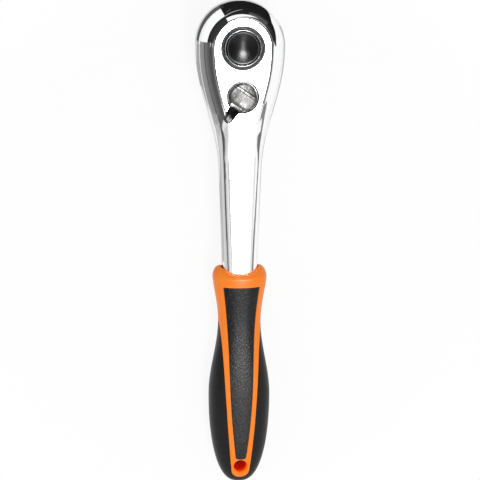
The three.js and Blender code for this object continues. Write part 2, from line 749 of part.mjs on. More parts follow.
function pawl() {
  const bore = cylinder(PIVOT_RADIUS + SNUG_GAP, PAWL_BOTTOM - CUT_PAST, PAWL_TOP + CUT_PAST, SMALL_ROUND)
    .translate(0, -PIVOT_DISTANCE, 0);
  return cut(prism(pawlOutline(), PAWL_BOTTOM, PAWL_TOP), bore).translate(0, PIVOT_DISTANCE, 0);
}

function pivotPinTop() {
  return PAWL_CEILING + 3 * PIVOT_RADIUS;
}

function pivotPinBottom() {
  return HEAD_BOTTOM + COVER_THICKNESS / 2;
}

function pivotPin() {
  const pin = cylinder(PIVOT_RADIUS, pivotPinBottom(), pivotPinTop(), SMALL_ROUND);
  return pin.translate(0, -PIVOT_DISTANCE, 0);
}

// Reversing lever, with its tab along -Y about its own axis

function leverPlan() {
  const disc = LEVER_DISC_RADIUS;
  const tipCentre = LEVER_TIP_RADIUS - LEVER_REACH;
  const leave = degToRad(-LEVER_LEAVES_DISC);
  const shape = new THREE.Shape();
  shape.absarc(0, 0, disc, leave, Math.PI - leave, false);
  shape.quadraticCurveTo(-LEVER_WAIST_HALF_WIDTH, -disc, -LEVER_TIP_RADIUS, tipCentre);
  shape.absarc(0, tipCentre, LEVER_TIP_RADIUS, Math.PI, 2 * Math.PI, false);
  shape.quadraticCurveTo(LEVER_WAIST_HALF_WIDTH, -disc, disc * Math.cos(leave), disc * Math.sin(leave));
  return shape;
}

// Seen from the side: the low segment, the ridge, the slope, the saddle and the upturned tip.
function leverSide() {
  const front = LEVER_DISC_RADIUS + CUT_PAST;
  const back = -LEVER_REACH - CUT_PAST;
  const tab = HEAD_TOP + LEVER_TAB_LIFT;
  const segment = HEAD_TOP + LEVER_SEGMENT_HEIGHT;
  const ridge = HEAD_TOP + LEVER_RIDGE_HEIGHT;
  const saddle = HEAD_TOP + LEVER_SADDLE_HEIGHT;
  const tip = HEAD_TOP + LEVER_TIP_HEIGHT;
  const ridgeFront = LEVER_RIDGE_BACK + LEVER_RIDGE_WIDTH / 2;
  const slopeEnd = -0.6 * LEVER_DISC_RADIUS;
  const [saddleAt, tipStart, tipCrest] = [0.62, 0.8, 0.9].map((share) => -share * LEVER_REACH);
  const shape = new THREE.Shape();
  shape.moveTo(front, tab);
  shape.lineTo(front, segment);
  shape.lineTo(ridgeFront + LEVER_RIDGE_FOOT, segment);
  shape.lineTo(ridgeFront, ridge);
  shape.lineTo(ridgeFront - LEVER_RIDGE_WIDTH, ridge);
  shape.lineTo(slopeEnd, saddle);
  shape.quadraticCurveTo(saddleAt, saddle - LEVER_SADDLE_SAG, tipStart, tip - LEVER_TIP_CROWN);
  shape.quadraticCurveTo(tipCrest, tip + LEVER_TIP_CROWN, back, tip - LEVER_TIP_CROWN);
  shape.lineTo(back, tab + LEVER_TIP_UNDERCUT);
  shape.lineTo(-LEVER_DISC_RADIUS - LEVER_RECESS_GAP, tab);
  shape.closePath();
  return shape;
}

function reversingLever() {
  const width = 2 * (LEVER_DISC_RADIUS + CUT_PAST);
  const side = prism(leverSide(), -width / 2, width / 2, DISH_STEPS)
    .rotateX(Math.PI / 2)
    .rotateZ(Math.PI / 2);
  const plan = prism(leverPlan(), HEAD_TOP, HEAD_TOP + LEVER_TIP_HEIGHT + CUT_PAST);
  const disc = cylinder(LEVER_DISC_RADIUS, RECESS_FLOOR + SNUG_GAP, HEAD_TOP + LEVER_SEGMENT_HEIGHT);
  const spindleBottom = COVER_TOP + RUNNING_GAP;
  const clipFloor = CLIP_TOP - CLIP_THICKNESS - SNUG_GAP;
  const groove = SPINDLE_RADIUS - CLIP_GROOVE;
  const ringLevel = leverRingLevel();
  const ringHalf = LEVER_RING_WIRE / 2 + BALL_GAP;
  const ringFloor = SPINDLE_RADIUS + SNUG_GAP - LEVER_RING_WIRE - 3 * BALL_GAP;
  const spindle = turned([
    [0, spindleBottom],
    [SPINDLE_RADIUS - HUB_CHAMFER, spindleBottom],
    [SPINDLE_RADIUS, spindleBottom + HUB_CHAMFER],
    [SPINDLE_RADIUS, clipFloor],
    [groove, clipFloor],
    [groove, CLIP_TOP + SNUG_GAP],
    [SPINDLE_RADIUS, CLIP_TOP + SNUG_GAP],
    [SPINDLE_RADIUS, ringLevel - ringHalf],
    [ringFloor, ringLevel - ringHalf],
    [ringFloor, ringLevel + ringHalf],
    [SPINDLE_RADIUS, ringLevel + ringHalf],
    [SPINDLE_RADIUS, RECESS_FLOOR + CUT_PAST],
    [0, RECESS_FLOOR + CUT_PAST],
  ], SMALL_ROUND);
  const holeFloor = SPINDLE_WALL - SPINDLE_RADIUS;
  const plungerHole = cylinder(PLUNGER_RADIUS + SNUG_GAP, holeFloor, 2 * SPINDLE_RADIUS, SMALL_ROUND)
    .rotateX(-Math.PI / 2)
    .translate(0, 0, PLUNGER_LEVEL);
  return cut(join(common(plan, side), disc, spindle), plungerHole);
}

function leverRingLevel() {
  return (CLIP_CEILING + RECESS_FLOOR) / 2;
}

function leverSeal() {
  const radius = SPINDLE_RADIUS + SNUG_GAP - LEVER_RING_WIRE / 2 - BALL_GAP;
  return sealRing(radius, LEVER_RING_WIRE, leverRingLevel());
}

function leverClip() {
  const inner = SPINDLE_RADIUS - CLIP_GROOVE + SNUG_GAP;
  const outer = SPINDLE_RADIUS + CLIP_WIDTH - RUNNING_GAP;
  const gap = degToRad(CLIP_OPENING / 2);
  const shape = new THREE.Shape();
  shape.absarc(0, 0, outer, gap - Math.PI / 2, 1.5 * Math.PI - gap, false);
  shape.absarc(0, 0, inner, 1.5 * Math.PI - gap, gap - Math.PI / 2, true);
  shape.closePath();
  return prism(shape, CLIP_TOP - CLIP_THICKNESS, CLIP_TOP);
}

// The plunger is a thimble along +Y with the spring inside it.
function pawlPlunger() {
  const back = PLUNGER_REACH - PLUNGER_LENGTH;
  const dome = PLUNGER_REACH - PLUNGER_RADIUS;
  const bore = PLUNGER_RADIUS - PLUNGER_WALL;
  const tip = [0, 22.5, 45, 67.5].map((degrees) => {
    const { x, y } = polar(PLUNGER_RADIUS, degrees);
    return [x, dome + y];
  });
  const profile = [[0, dome], [bore, dome], [bore, back], [PLUNGER_RADIUS, back], ...tip, [0, PLUNGER_REACH]];
  return turned(profile, ARC_STEPS).rotateX(-Math.PI / 2).translate(0, 0, PLUNGER_LEVEL);
}

function plungerSpring() {
  const start = SPINDLE_WALL - SPINDLE_RADIUS + SNUG_GAP;
  const end = PLUNGER_REACH - PLUNGER_RADIUS - SNUG_GAP;
  const radius = PLUNGER_RADIUS - PLUNGER_WALL - PLUNGER_SPRING_WIRE / 2 - SNUG_GAP;
  return coilSpring("plunger_spring", radius, PLUNGER_SPRING_WIRE, end - start, PLUNGER_SPRING_TURNS)
    .translate(0, 0, start)
    .rotateX(-Math.PI / 2)
    .translate(0, 0, PLUNGER_LEVEL);
}

// Cover plate and its screws

function screwHeadDepth() {
  return SCREW_HEAD_RADIUS - SCREW_RADIUS;
}

function coverPlate() {
  const bore = SCREW_RADIUS + SNUG_GAP;
  const head = SCREW_HEAD_RADIUS + SNUG_GAP;
  const countersink = turned([
    [0, HEAD_BOTTOM - CUT_PAST],
    [head, HEAD_BOTTOM - CUT_PAST],
    [head, HEAD_BOTTOM + SNUG_GAP / 2],
    [bore, HEAD_BOTTOM + screwHeadDepth() + SNUG_GAP / 2],
    [bore, COVER_TOP + CUT_PAST],
    [0, COVER_TOP + CUT_PAST],
  ], SMALL_ROUND);
  const screws = Object.values(screwPlaces()).map((place) => countersink.clone().translate(...place));
  return cut(
    prism(coverOutline(0), HEAD_BOTTOM, COVER_TOP),
    cylinder(COLLAR_RADIUS + RUNNING_GAP, HEAD_BOTTOM - CUT_PAST, COVER_TOP + CUT_PAST),
    cylinder(PIVOT_RADIUS + SNUG_GAP, pivotPinBottom() - SNUG_GAP, COVER_TOP + CUT_PAST, SMALL_ROUND)
      .translate(0, -PIVOT_DISTANCE, 0),
    ...screws,
  );
}

function coverScrew() {
  const body = turned([
    [0, HEAD_BOTTOM],
    [SCREW_HEAD_RADIUS, HEAD_BOTTOM],
    [SCREW_RADIUS, HEAD_BOTTOM + screwHeadDepth()],
    [SCREW_RADIUS, HEAD_BOTTOM + SCREW_LENGTH - SCREW_RADIUS / 2],
    [SCREW_RADIUS / 2, HEAD_BOTTOM + SCREW_LENGTH],
    [0, HEAD_BOTTOM + SCREW_LENGTH],
  ], SMALL_ROUND);
  const reach = SCREW_SLOT_LENGTH;
  const blades = [[reach, SCREW_SLOT], [SCREW_SLOT, reach]].map(([x, y]) => {
    return new THREE.BoxGeometry(x, y, 2 * SCREW_RADIUS).translate(0, 0, HEAD_BOTTOM - SCREW_RADIUS / 2);
  });
  return cut(body, ...blades);
}

// Handle: one outer form, divided into the core and the rubber pieces

const FLARE_BIAS = 0.78;
const TAIL_FULLNESS = 2.15;
const TAIL_ROUNDNESS = 2.6;
const MOUTH_STEPS = 4;
const FLARE_STEPS = 6;
const SWELL_STEPS = 6;
const TAIL_STEPS = 9;

function handleRing(y, halfWidth, halfThickness, scoop) {
  return Array.from({ length: HANDLE_POINTS }, (_, i) => {
    const { x: c, y: s } = polar(1, (360 * i) / HANDLE_POINTS);
    const bulge = (v) => Math.sign(v) * Math.abs(v) ** (2 / HANDLE_SQUARENESS);
    return new THREE.Vector3(halfWidth * bulge(c), y - scoop * s * s, MID_PLANE + halfThickness * bulge(s));
  });
}

function mouthRings() {
  const mouthWidth = SHANK_END_WIDTH / 2 + MOUTH_LIP;
  const mouthThickness = SHANK_THICKNESS / 2 + MOUTH_LIP;
  return Array.from({ length: MOUTH_STEPS }, (_, i) => {
    const { x: across, y: along } = polar(1, 90 * (1 - i / MOUTH_STEPS));
    return handleRing(
      lerp(COLLAR_AT, HANDLE_START, along),
      lerp(mouthWidth, COLLAR_WIDTH / 2, across),
      lerp(mouthThickness, COLLAR_THICKNESS / 2, across),
      MOUTH_SCOOP * along,
    );
  });
}

// The handle's form from the collar down, drawn in by an inset all round.
function gripRings(inset) {
  const rings = [];
  for (let i = 0; i < FLARE_STEPS; i++) {
    const t = i / FLARE_STEPS;
    const swell = smoothstep(t ** FLARE_BIAS, 0, 1);
    const width = lerp(COLLAR_WIDTH, WAIST_WIDTH, swell) / 2;
    const thickness = lerp(COLLAR_THICKNESS, WAIST_THICKNESS, swell) / 2;
    rings.push(handleRing(lerp(COLLAR_AT, WAIST_AT, t), width - inset, thickness - inset, 0));
  }
  for (let i = 0; i < SWELL_STEPS; i++) {
    const t = i / SWELL_STEPS;
    const swell = smoothstep(t, 0, 1);
    const width = lerp(WAIST_WIDTH, BELLY_WIDTH, swell) / 2;
    const thickness = lerp(WAIST_THICKNESS, BELLY_THICKNESS, swell) / 2;
    rings.push(handleRing(lerp(WAIST_AT, BELLY_AT, t), width - inset, thickness - inset, 0));
  }
  for (let i = 0; i <= TAIL_STEPS; i++) {
    const { x: c, y: s } = polar(1, (90 * i) / TAIL_STEPS);
    const along = s ** (2 / TAIL_FULLNESS);
    const across = Math.max(c, 0) ** (2 / TAIL_ROUNDNESS);
    const y = lerp(BELLY_AT, HANDLE_END + inset, along);
    rings.push(handleRing(y, (BELLY_WIDTH / 2 - inset) * across, (BELLY_THICKNESS / 2 - inset) * across, 0));
  }
  return rings;
}

function handleForm() {
  return loft([...mouthRings(), ...gripRings(0)], true, false);
}

function rubberBed(inset) {
  return loft(gripRings(inset), true, false);
}

// A plan outline symmetric about the centre line, from the points of its right side.
function planShape(rightSide) {
  return new THREE.Shape([...rightSide, ...mirrored(rightSide)]);
}

// The orange region seen from the front: the whole collar, then the frame down to the tongue.
function framePlan(grow) {
  const wide = COLLAR_WIDTH;
  const flareAt = HANDLE_START - FRAME_FLARE_FROM_START;
  const tongueEnd = HANDLE_END + TONGUE_FROM_END;
  const tongueSide = tongueEnd + TONGUE_ROUND;
  const path = new THREE.Path();
  path.moveTo(wide, HANDLE_START + COLLAR_DEPTH);
  path.lineTo(wide, flareAt);
  path.lineTo(FRAME_TOP_HALF_WIDTH, flareAt);
  path.bezierCurveTo(
    FRAME_UPPER_PULL_HALF_WIDTH, HANDLE_START - FRAME_UPPER_PULL_FROM_START,
    FRAME_LOWER_PULL_HALF_WIDTH, HANDLE_START - FRAME_LOWER_PULL_FROM_START,
    TONGUE_HALF_WIDTH, tongueSide,
  );
  path.bezierCurveTo(
    TONGUE_HALF_WIDTH - CENTRE_FLAT, tongueEnd + TONGUE_ROUND / 3,
    TONGUE_HALF_WIDTH / 2, tongueEnd,
    CENTRE_FLAT, tongueEnd,
  );
  const points = path.getPoints(PLAN_STEPS).map((p) => new THREE.Vector2(p.x + grow, p.y));
  points[points.length - 1].y -= grow;
  return planShape(points);
}

// The rubber inset between the frame stripes.
function panelPlan(shrink) {
  const top = HANDLE_START - PANEL_FROM_START - shrink;
  const end = HANDLE_END + HANG_HOLE_FROM_END + HANG_HOLE_RADIUS + PANEL_TO_HOLE + shrink;
  const path = new THREE.Path();
  path.moveTo(PANEL_TOP_HALF_WIDTH - shrink, top);
  path.bezierCurveTo(
    PANEL_UPPER_PULL_HALF_WIDTH - shrink, HANDLE_START - PANEL_UPPER_PULL_FROM_START,
    PANEL_LOWER_PULL_HALF_WIDTH - shrink, HANDLE_START - PANEL_LOWER_PULL_FROM_START,
    PANEL_END_HALF_WIDTH - shrink, end + PANEL_END_ROUND,
  );
  path.quadraticCurveTo(PANEL_END_HALF_WIDTH - PANEL_END_ROUND, end, CENTRE_FLAT, end);
  return planShape(path.getPoints(PLAN_STEPS));
}

function wholeHeight(shape) {
  return prism(shape, MID_PLANE - THROUGH, MID_PLANE + THROUGH);
}

function handleCore() {
  const frame = cut(common(handleForm(), wholeHeight(framePlan(0))), wholeHeight(panelPlan(0)));
  const hangHole = cylinder(HANG_HOLE_RADIUS, MID_PLANE - THROUGH, MID_PLANE + THROUGH, SMALL_ROUND)
    .translate(0, HANDLE_END + HANG_HOLE_FROM_END, 0);
  return cut(join(rubberBed(RUBBER), frame), tangSocket(), hangHole);
}

function sideGrip() {
  return cut(handleForm(), wholeHeight(framePlan(MOULD_GAP)), rubberBed(RUBBER - MOULD_GAP));
}

function gripPanel(side) {
  const [low, high] = side > 0 ? [MID_PLANE, MID_PLANE + THROUGH] : [MID_PLANE - THROUGH, MID_PLANE];
  const slab = prism(panelPlan(MOULD_GAP), low, high);
  return cut(common(handleForm(), slab), rubberBed(RUBBER - MOULD_GAP));
}

// Assembly

function finish(color, roughness, metalness) {
  return () => new THREE.MeshStandardMaterial({ color, roughness, metalness });
}

const chrome = finish(0xe4e6ea, 0.06, 1);
const castSteel = finish(0xb9bab8, 0.35, 1);
const darkSteel = finish(0x6d7074, 0.38, 1);
const brightSteel = finish(0xc9ccd0, 0.2, 1);
const blackGloss = finish(0x141414, 0.2, 0);
const blackRubber = finish(0x2f2f30, 0.75, 0);
const sealRubber = finish(0x1a1a1a, 0.6, 0);
const orangePlastic = finish(0xff8b1f, 0.38, 0);

function place(parent, name, geometry, material) {
  const mesh = new THREE.Mesh(geometry, material());
  mesh.name = name;
  parent.add(mesh);
  return mesh;
}

function addDrive(ratchet) {
  const drive = new THREE.Group();
  place(drive, "drive_gear", driveGear(), darkSteel);
  place(drive, "release_button", releaseButton(), blackGloss);
  place(drive, "release_pin", releasePin(), brightSteel);
  place(drive, "button_spring", buttonSpring(), brightSteel);
  place(drive, "detent_ball", detentBall(), brightSteel);
  place(drive, "hub_o_ring", hubSeal(), sealRubber);
  ratchet.add(drive);
}

function addReverser(ratchet) {
  const lever = new THREE.Group();
  lever.position.set(0, -LEVER_OFFSET, 0);
  lever.rotation.z = -degToRad(LEVER_ANGLE);
  place(lever, "reversing_lever", reversingLever(), castSteel);
  place(lever, "lever_o_ring", leverSeal(), sealRubber);
  place(lever, "lever_clip", leverClip(), brightSteel);
  place(lever, "pawl_plunger", pawlPlunger(), brightSteel);
  place(lever, "plunger_spring", plungerSpring(), brightSteel);
  const rocker = new THREE.Group();
  rocker.position.set(0, -PIVOT_DISTANCE, 0);
  rocker.rotation.z = PAWL_THROW;
  place(rocker, "pawl", pawl(), darkSteel);
  ratchet.add(lever, rocker);
  place(ratchet, "pawl_pivot_pin", pivotPin(), brightSteel);
}

function addHead(ratchet) {
  place(ratchet, "ratchet_body", ratchetBody(), chrome);
  place(ratchet, "cover_plate", coverPlate(), chrome);
  for (const [side, where] of Object.entries(screwPlaces())) {
    place(ratchet, `cover_screw_${side}`, coverScrew(), darkSteel).position.set(...where);
  }
}

function addHandle(ratchet) {
  place(ratchet, "handle_core", handleCore(), orangePlastic);
  place(ratchet, "side_grip", sideGrip(), blackRubber);
  place(ratchet, "front_grip_panel", gripPanel(1), blackRubber);
  place(ratchet, "rear_grip_panel", gripPanel(-1), blackRubber);
}

const ratchet = new THREE.Group();
addHead(ratchet);
addDrive(ratchet);
addReverser(ratchet);
addHandle(ratchet);

export default ratchet;
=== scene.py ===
"""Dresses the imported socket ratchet: finer pieces, finishes, a studio and the camera."""

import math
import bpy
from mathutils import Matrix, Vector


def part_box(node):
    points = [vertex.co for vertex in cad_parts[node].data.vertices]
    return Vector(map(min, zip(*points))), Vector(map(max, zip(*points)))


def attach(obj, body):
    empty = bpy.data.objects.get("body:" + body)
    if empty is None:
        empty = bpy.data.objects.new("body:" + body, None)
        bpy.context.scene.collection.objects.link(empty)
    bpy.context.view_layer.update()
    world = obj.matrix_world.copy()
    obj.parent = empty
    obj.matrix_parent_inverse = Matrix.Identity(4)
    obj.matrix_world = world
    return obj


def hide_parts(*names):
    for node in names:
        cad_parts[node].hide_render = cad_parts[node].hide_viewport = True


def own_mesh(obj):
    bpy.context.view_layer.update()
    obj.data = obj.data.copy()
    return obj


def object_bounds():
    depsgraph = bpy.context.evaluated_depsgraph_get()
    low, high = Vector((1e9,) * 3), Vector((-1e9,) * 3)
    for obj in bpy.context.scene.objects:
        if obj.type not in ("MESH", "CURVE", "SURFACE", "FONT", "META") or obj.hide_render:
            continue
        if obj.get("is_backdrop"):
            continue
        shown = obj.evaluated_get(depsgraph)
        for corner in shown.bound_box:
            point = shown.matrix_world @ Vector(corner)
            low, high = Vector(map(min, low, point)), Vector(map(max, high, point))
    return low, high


bl_info = {
    "name": "Socket Ratchet Dresser",
    "version": (1, 0, 0),
    "blender": (4, 5, 0),
    "location": "View3D > Sidebar > Ratchet",
    "description": "Models the visible pieces of a socket ratchet over its CAD frame",
    "category": "Object",
}

from functools import cache
from types import SimpleNamespace
from typing import NamedTuple

import bpy
from mathutils import Matrix, Vector

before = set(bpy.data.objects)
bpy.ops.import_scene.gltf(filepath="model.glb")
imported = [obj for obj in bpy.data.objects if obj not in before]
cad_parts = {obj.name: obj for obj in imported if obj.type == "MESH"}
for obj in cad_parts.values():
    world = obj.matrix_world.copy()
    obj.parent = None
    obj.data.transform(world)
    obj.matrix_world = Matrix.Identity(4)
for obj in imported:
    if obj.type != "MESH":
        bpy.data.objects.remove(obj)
CAD_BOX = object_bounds()


# Sizes that the frame gives, in millimetres

MM = 0.001


def mm(value):
    """A frame length in millimetres."""
    return value / MM


HEAD_LOW, HEAD_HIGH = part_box("ratchet_body")
CORE_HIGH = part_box("handle_core")[1]
BUTT_LOW, BUTT_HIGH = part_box("side_grip")
HEAD_RADIUS = mm(HEAD_HIGH.x)
HEAD_TOP, HEAD_BOTTOM = mm(HEAD_HIGH.z), mm(HEAD_LOW.z)
MID_PLANE = (HEAD_TOP + HEAD_BOTTOM) / 2
TANG_END = mm(HEAD_LOW.y)
MOUTH_EDGE, COLLAR_HALF_WIDTH = mm(CORE_HIGH.y), mm(CORE_HIGH.x)
HANDLE_END, BELLY_HALF_WIDTH = mm(BUTT_LOW.y), mm(BUTT_HIGH.x)


# Properties: the sizes and colours that a user would change


def number(name, value, description, **options):
    return bpy.props.FloatProperty(name=name, description=description, default=value, **options)


def length(name, value, description):
    return number(name, value * MM, description, min=0, unit="LENGTH", subtype="DISTANCE", precision=5)


def colour(name, value, description):
    return bpy.props.FloatVectorProperty(
        name=name, description=description, default=value, min=0, max=1, size=3, subtype="COLOR"
    )


class HeadSizes(bpy.types.PropertyGroup):
    """Sizes of the forged head, neck and shank."""

    shoulder: length("Shoulder", 6.2, "How far the head's shoulder reaches in")
    shoulder_drop: length("Shoulder drop", 8.6, "How far the head's shoulder falls")
    rim: length("Rim", 1.8, "Width of the low rim round the flat top")
    foot: length("Foot", 3.2, "Rounding of the head's lower edge")
    neck_width: length("Neck width", 21.2, "Width where the neck meets the shank")
    shank_width: length("Shank width", 17.6, "Width where the shank meets the handle")
    shank_thickness: length("Shank thickness", 14, "Height of the shank")
    shank_rim: length("Shank rim", 2.4, "Width of the soft rounding beside the shank's flat top")
    hub_sink: length("Hub sink", 1.7, "Width of the bevel round the hub's bore")


class DriveSizes(bpy.types.PropertyGroup):
    """Sizes of the drive and its quick release."""

    square: length("Square", 12.7, "Side of the square drive")
    square_edge: length("Square edge", 1.1, "Rounding of the square's long edges")
    hub_radius: length("Hub radius", 9.1, "Radius of the hub that shows round the button")
    collar_radius: length("Collar radius", 9.6, "Radius of the collar above the square")
    button_radius: length("Button radius", 8.2, "Radius of the release button")
    dish_depth: length("Dish depth", 1.6, "Depth of the button's dish")


class LeverSizes(bpy.types.PropertyGroup):
    """Sizes of the reversing lever."""

    disc_radius: length("Disc radius", 7, "Radius of the lever's disc")
    reach: length("Reach", 15, "From the lever's axis to the tip of its tab")
    tip_radius: length("Tip radius", 2.3, "Half the width of the tab's tip")
    waist: length("Waist", 2.5, "Half the width of the tab's neck")
    ridge_height: length("Ridge height", 1.7, "Height of the ridge over the head")
    tip_height: length("Tip height", 2.75, "Height of the tab's tip over the head")


class HandleSizes(bpy.types.PropertyGroup):
    """Sizes of the two-material handle."""

    rubber: length("Rubber", 2.2, "Thickness of the rubber pieces")
    seam: length("Seam", 0.16, "Gap between the orange core and the rubber")
    soft_edge: length("Soft edge", 0.4, "Rounding of the edges along the seams")
    scoop: length("Scoop", 2.8, "How far the collar's mouth dips at the front")
    brim: length("Brim", 0.9, "How far the collar's ears stay below the core's top")
    hole_radius: length("Hole radius", 3.4, "Radius of the hanging hole")


class Finishes(bpy.types.PropertyGroup):
    """Colours of the ratchet's materials."""

    chrome: colour("Chrome", (0.93, 0.935, 0.94), "Mirror plating of head and shank")
    cast: colour("Cast steel", (0.17, 0.168, 0.164), "Satin casting of the lever")
    dark_steel: colour("Dark steel", (0.22, 0.22, 0.225), "Phosphated drive and screws")
    bright_steel: colour("Bright steel", (0.66, 0.67, 0.69), "Ground and drawn steel")
    button: colour("Button", (0.004, 0.004, 0.0043), "Gloss black plastic")
    rubber: colour("Rubber", (0.018, 0.0178, 0.0175), "Black grip rubber")
    seal: colour("Seal", (0.02, 0.02, 0.02), "Black seal rubber")
    orange: colour("Orange", (0.94, 0.215, 0.007), "Moulded orange plastic")


class StudioSettings(bpy.types.PropertyGroup):
    """The camera and the light."""

    lean: number("Lean", math.radians(6.5), "Camera's sideways lean", subtype="ANGLE")
    tilt: number("Tilt", math.radians(13), "Camera's lean towards the nose", subtype="ANGLE")
    roll: number("Roll", math.radians(0.264), "Camera's turn about its view", subtype="ANGLE")
    distance: length("Distance", 1200, "From the camera to the ratchet")
    lens: number("Lens", 177.9, "Focal length in millimetres", min=10, subtype="DISTANCE_CAMERA")
    sky: number("Sky", 0.56, "Strength of the soft sky", min=0)


GROUP_NAMES = {
    "ratchet_head": HeadSizes,
    "ratchet_drive": DriveSizes,
    "ratchet_lever": LeverSizes,
    "ratchet_handle": HandleSizes,
    "ratchet_finishes": Finishes,
    "ratchet_studio": StudioSettings,
}


def measured(group):
    """The lengths of a property group, in millimetres."""
    settings, names = getattr(bpy.context.scene, group), GROUP_NAMES[group].__annotations__
    return SimpleNamespace(**{name: mm(getattr(settings, name)) for name in names})


# Modelling helpers

MERGE_DISTANCE, LEAST_EDGE = 2e-6, 1e-6


def mode(name):
    bpy.ops.object.mode_set(mode=name)


def select(action):
    bpy.ops.mesh.select_all(action=action)


def alone(piece=None):
    """Leaves edit mode and selects only this piece."""
    if bpy.context.mode != "OBJECT":
        mode("OBJECT")
    bpy.ops.object.select_all(action="DESELECT")
    if piece is not None:
        piece.select_set(True)
        bpy.context.view_layer.objects.active = piece


def begin(name, add, **options):
    """Adds a primitive with nothing else selected, and names it."""
    alone()
    add(**options)
    piece = bpy.context.active_object
    piece.name = piece.data.name = name
    return piece


def lay(piece, points):
    """Moves the piece's vertices to these points, given in millimetres."""
    flat = [value * MM for point in points for value in point]
    if len(flat) != 3 * len(piece.data.vertices):
        raise RuntimeError(f"{piece.name}: {len(piece.data.vertices)} vertices for {len(points)} points")
    piece.data.vertices.foreach_set("co", flat)
    piece.data.update()


def moved(piece, place):
    """Moves each vertex to where place sends its x, y and z, in millimetres."""
    lay(piece, [place(*(mm(value) for value in vertex.co)) for vertex in piece.data.vertices])
    return piece


def pick(piece, chosen):
    """Selects the edges whose two ends pass a test."""
    vertices = piece.data.vertices
    for edge in piece.data.edges:
        edge.select = chosen(*(vertices[i] for i in edge.vertices))


def weld(piece, close=False):
    """Merges what touches, closes open ends and turns the faces outwards."""
    alone(piece)
    mode("EDIT")
    select("SELECT")
    bpy.ops.mesh.remove_doubles(threshold=MERGE_DISTANCE)
    bpy.ops.mesh.dissolve_degenerate(threshold=LEAST_EDGE)
    if close:
        select("SELECT")
        bpy.ops.mesh.fill_holes(sides=0)
    select("SELECT")
    bpy.ops.mesh.normals_make_consistent(inside=False)
    mode("OBJECT")
    return piece


def skin(name, rows, close=False):
    """A grid laid over rows of points; coinciding sides are merged."""
    spans = {"x_subdivisions": len(rows[0]) - 1, "y_subdivisions": len(rows) - 1}
    piece = begin(name, bpy.ops.mesh.primitive_grid_add, size=MM, **spans)
    lay(piece, [point for row in rows for point in row])
    return weld(piece, close)


def rod(radius, low, high):
    """The profile of a plain round bar."""
    return [(0, low), (radius, low), (radius, high), (0, high)]


def turned(name, profile, steps, at=(0, 0)):
    """A profile of radius and height, from an upright axis back to it, spun about that axis."""
    piece = begin(name, bpy.ops.mesh.primitive_circle_add, vertices=len(profile), radius=MM)
    lay(piece, [(at[0] + r, at[1], z) for r, z in profile])
    ends = {0, len(profile) - 1}
    mode("EDIT")
    select("DESELECT")
    mode("OBJECT")
    pick(piece, lambda a, b: {a.index, b.index} == ends)
    mode("EDIT")
    bpy.ops.mesh.select_mode(type="EDGE")
    bpy.ops.mesh.delete(type="EDGE")
    bpy.ops.mesh.select_mode(type="VERT")
    select("SELECT")
    centre = (at[0] * MM, at[1] * MM, 0)
    bpy.ops.mesh.spin(steps=steps, angle=2 * math.pi, center=centre, axis=(0, 0, 1))
    return weld(piece)


def slab(name, outline, bottom, top, edge=0):
    """An outline filled, extruded upwards and bevelled along its edges."""
    shape = {"vertices": len(outline), "radius": MM, "fill_type": "NGON"}
    piece = begin(name, bpy.ops.mesh.primitive_circle_add, **shape)
    lay(piece, [(x, y, bottom) for x, y in outline])
    mode("EDIT")
    select("SELECT")
    bpy.ops.mesh.extrude_region_move(TRANSFORM_OT_translate={"value": (0, 0, (top - bottom) * MM)})
    select("SELECT")
    bpy.ops.mesh.normals_make_consistent(inside=False)
    mode("OBJECT")
    return soften(piece, edge) if edge else piece


def block(name, low, high):
    """A cube stretched between two corners."""
    piece = begin(name, bpy.ops.mesh.primitive_cube_add, size=1)
    lay(piece, [[low[k] if v.co[k] < 0 else high[k] for k in range(3)] for v in piece.data.vertices])
    return piece


def apply_modifier(piece, kind, **settings):
    """Adds a modifier with these settings and applies it."""
    alone(piece)
    modifier = piece.modifiers.new(kind.title(), kind)
    for key, value in settings.items():
        setattr(modifier, key, value)
    bpy.ops.object.modifier_apply(modifier=modifier.name)
    return piece


def soften(piece, width, angle=40):
    """Rounds the edges sharper than an angle."""
    limit = {"limit_method": "ANGLE", "angle_limit": math.radians(angle)}
    return apply_modifier(piece, "BEVEL", width=width * MM, segments=3, **limit)


def combine(piece, other, operation="DIFFERENCE"):
    """Cuts a piece with another one or joins them; the other one is used up."""
    apply_modifier(piece, "BOOLEAN", object=other, operation=operation, solver="EXACT")
    bpy.data.objects.remove(other, do_unlink=True)


def gather(name, piece, *others):
    """Makes several meshes one piece of this name."""
    alone(piece)
    for other in others:
        other.select_set(True)
    bpy.ops.object.join()
    piece.name = piece.data.name = name
    return piece


def copied(piece, name):
    """A copy of a piece with a mesh of its own."""
    alone(piece)
    bpy.ops.object.duplicate(linked=False)
    twin = bpy.context.active_object
    twin.name = twin.data.name = name
    return twin


def dress(piece, material, body, solid, angle=32):
    """Shades a finished piece, gives it its material and sets it on its body in place of a CAD solid."""
    alone(piece)
    bpy.ops.object.shade_smooth_by_angle(angle=math.radians(angle))
    piece.data.materials.clear()
    piece.data.materials.append(material)
    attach(piece, body)
    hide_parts(solid)


def face_finish(piece, material, chosen):
    """Gives the faces whose middle and normal pass a test another material."""
    piece.data.materials.append(material)
    for face in piece.data.polygons:
        if chosen(*(mm(value) for value in face.center), face.normal):
            face.material_index = len(piece.data.materials) - 1


# Small curves used by several pieces


def mix(a, b, t):
    return a + (b - a) * t


def ease(t):
    t = min(1, max(0, t))
    return t * t * (3 - 2 * t)


def bezier(p0, p1, p2, p3, count):
    """Points along a cubic curve in a plane."""
    points = []
    for i in range(count + 1):
        t = i / count
        u = 1 - t
        weights = (u**3, 3 * u * u * t, 3 * u * t * t, t**3)
        points.append(tuple(sum(w * p[k] for w, p in zip(weights, (p0, p1, p2, p3))) for k in range(2)))
    return points


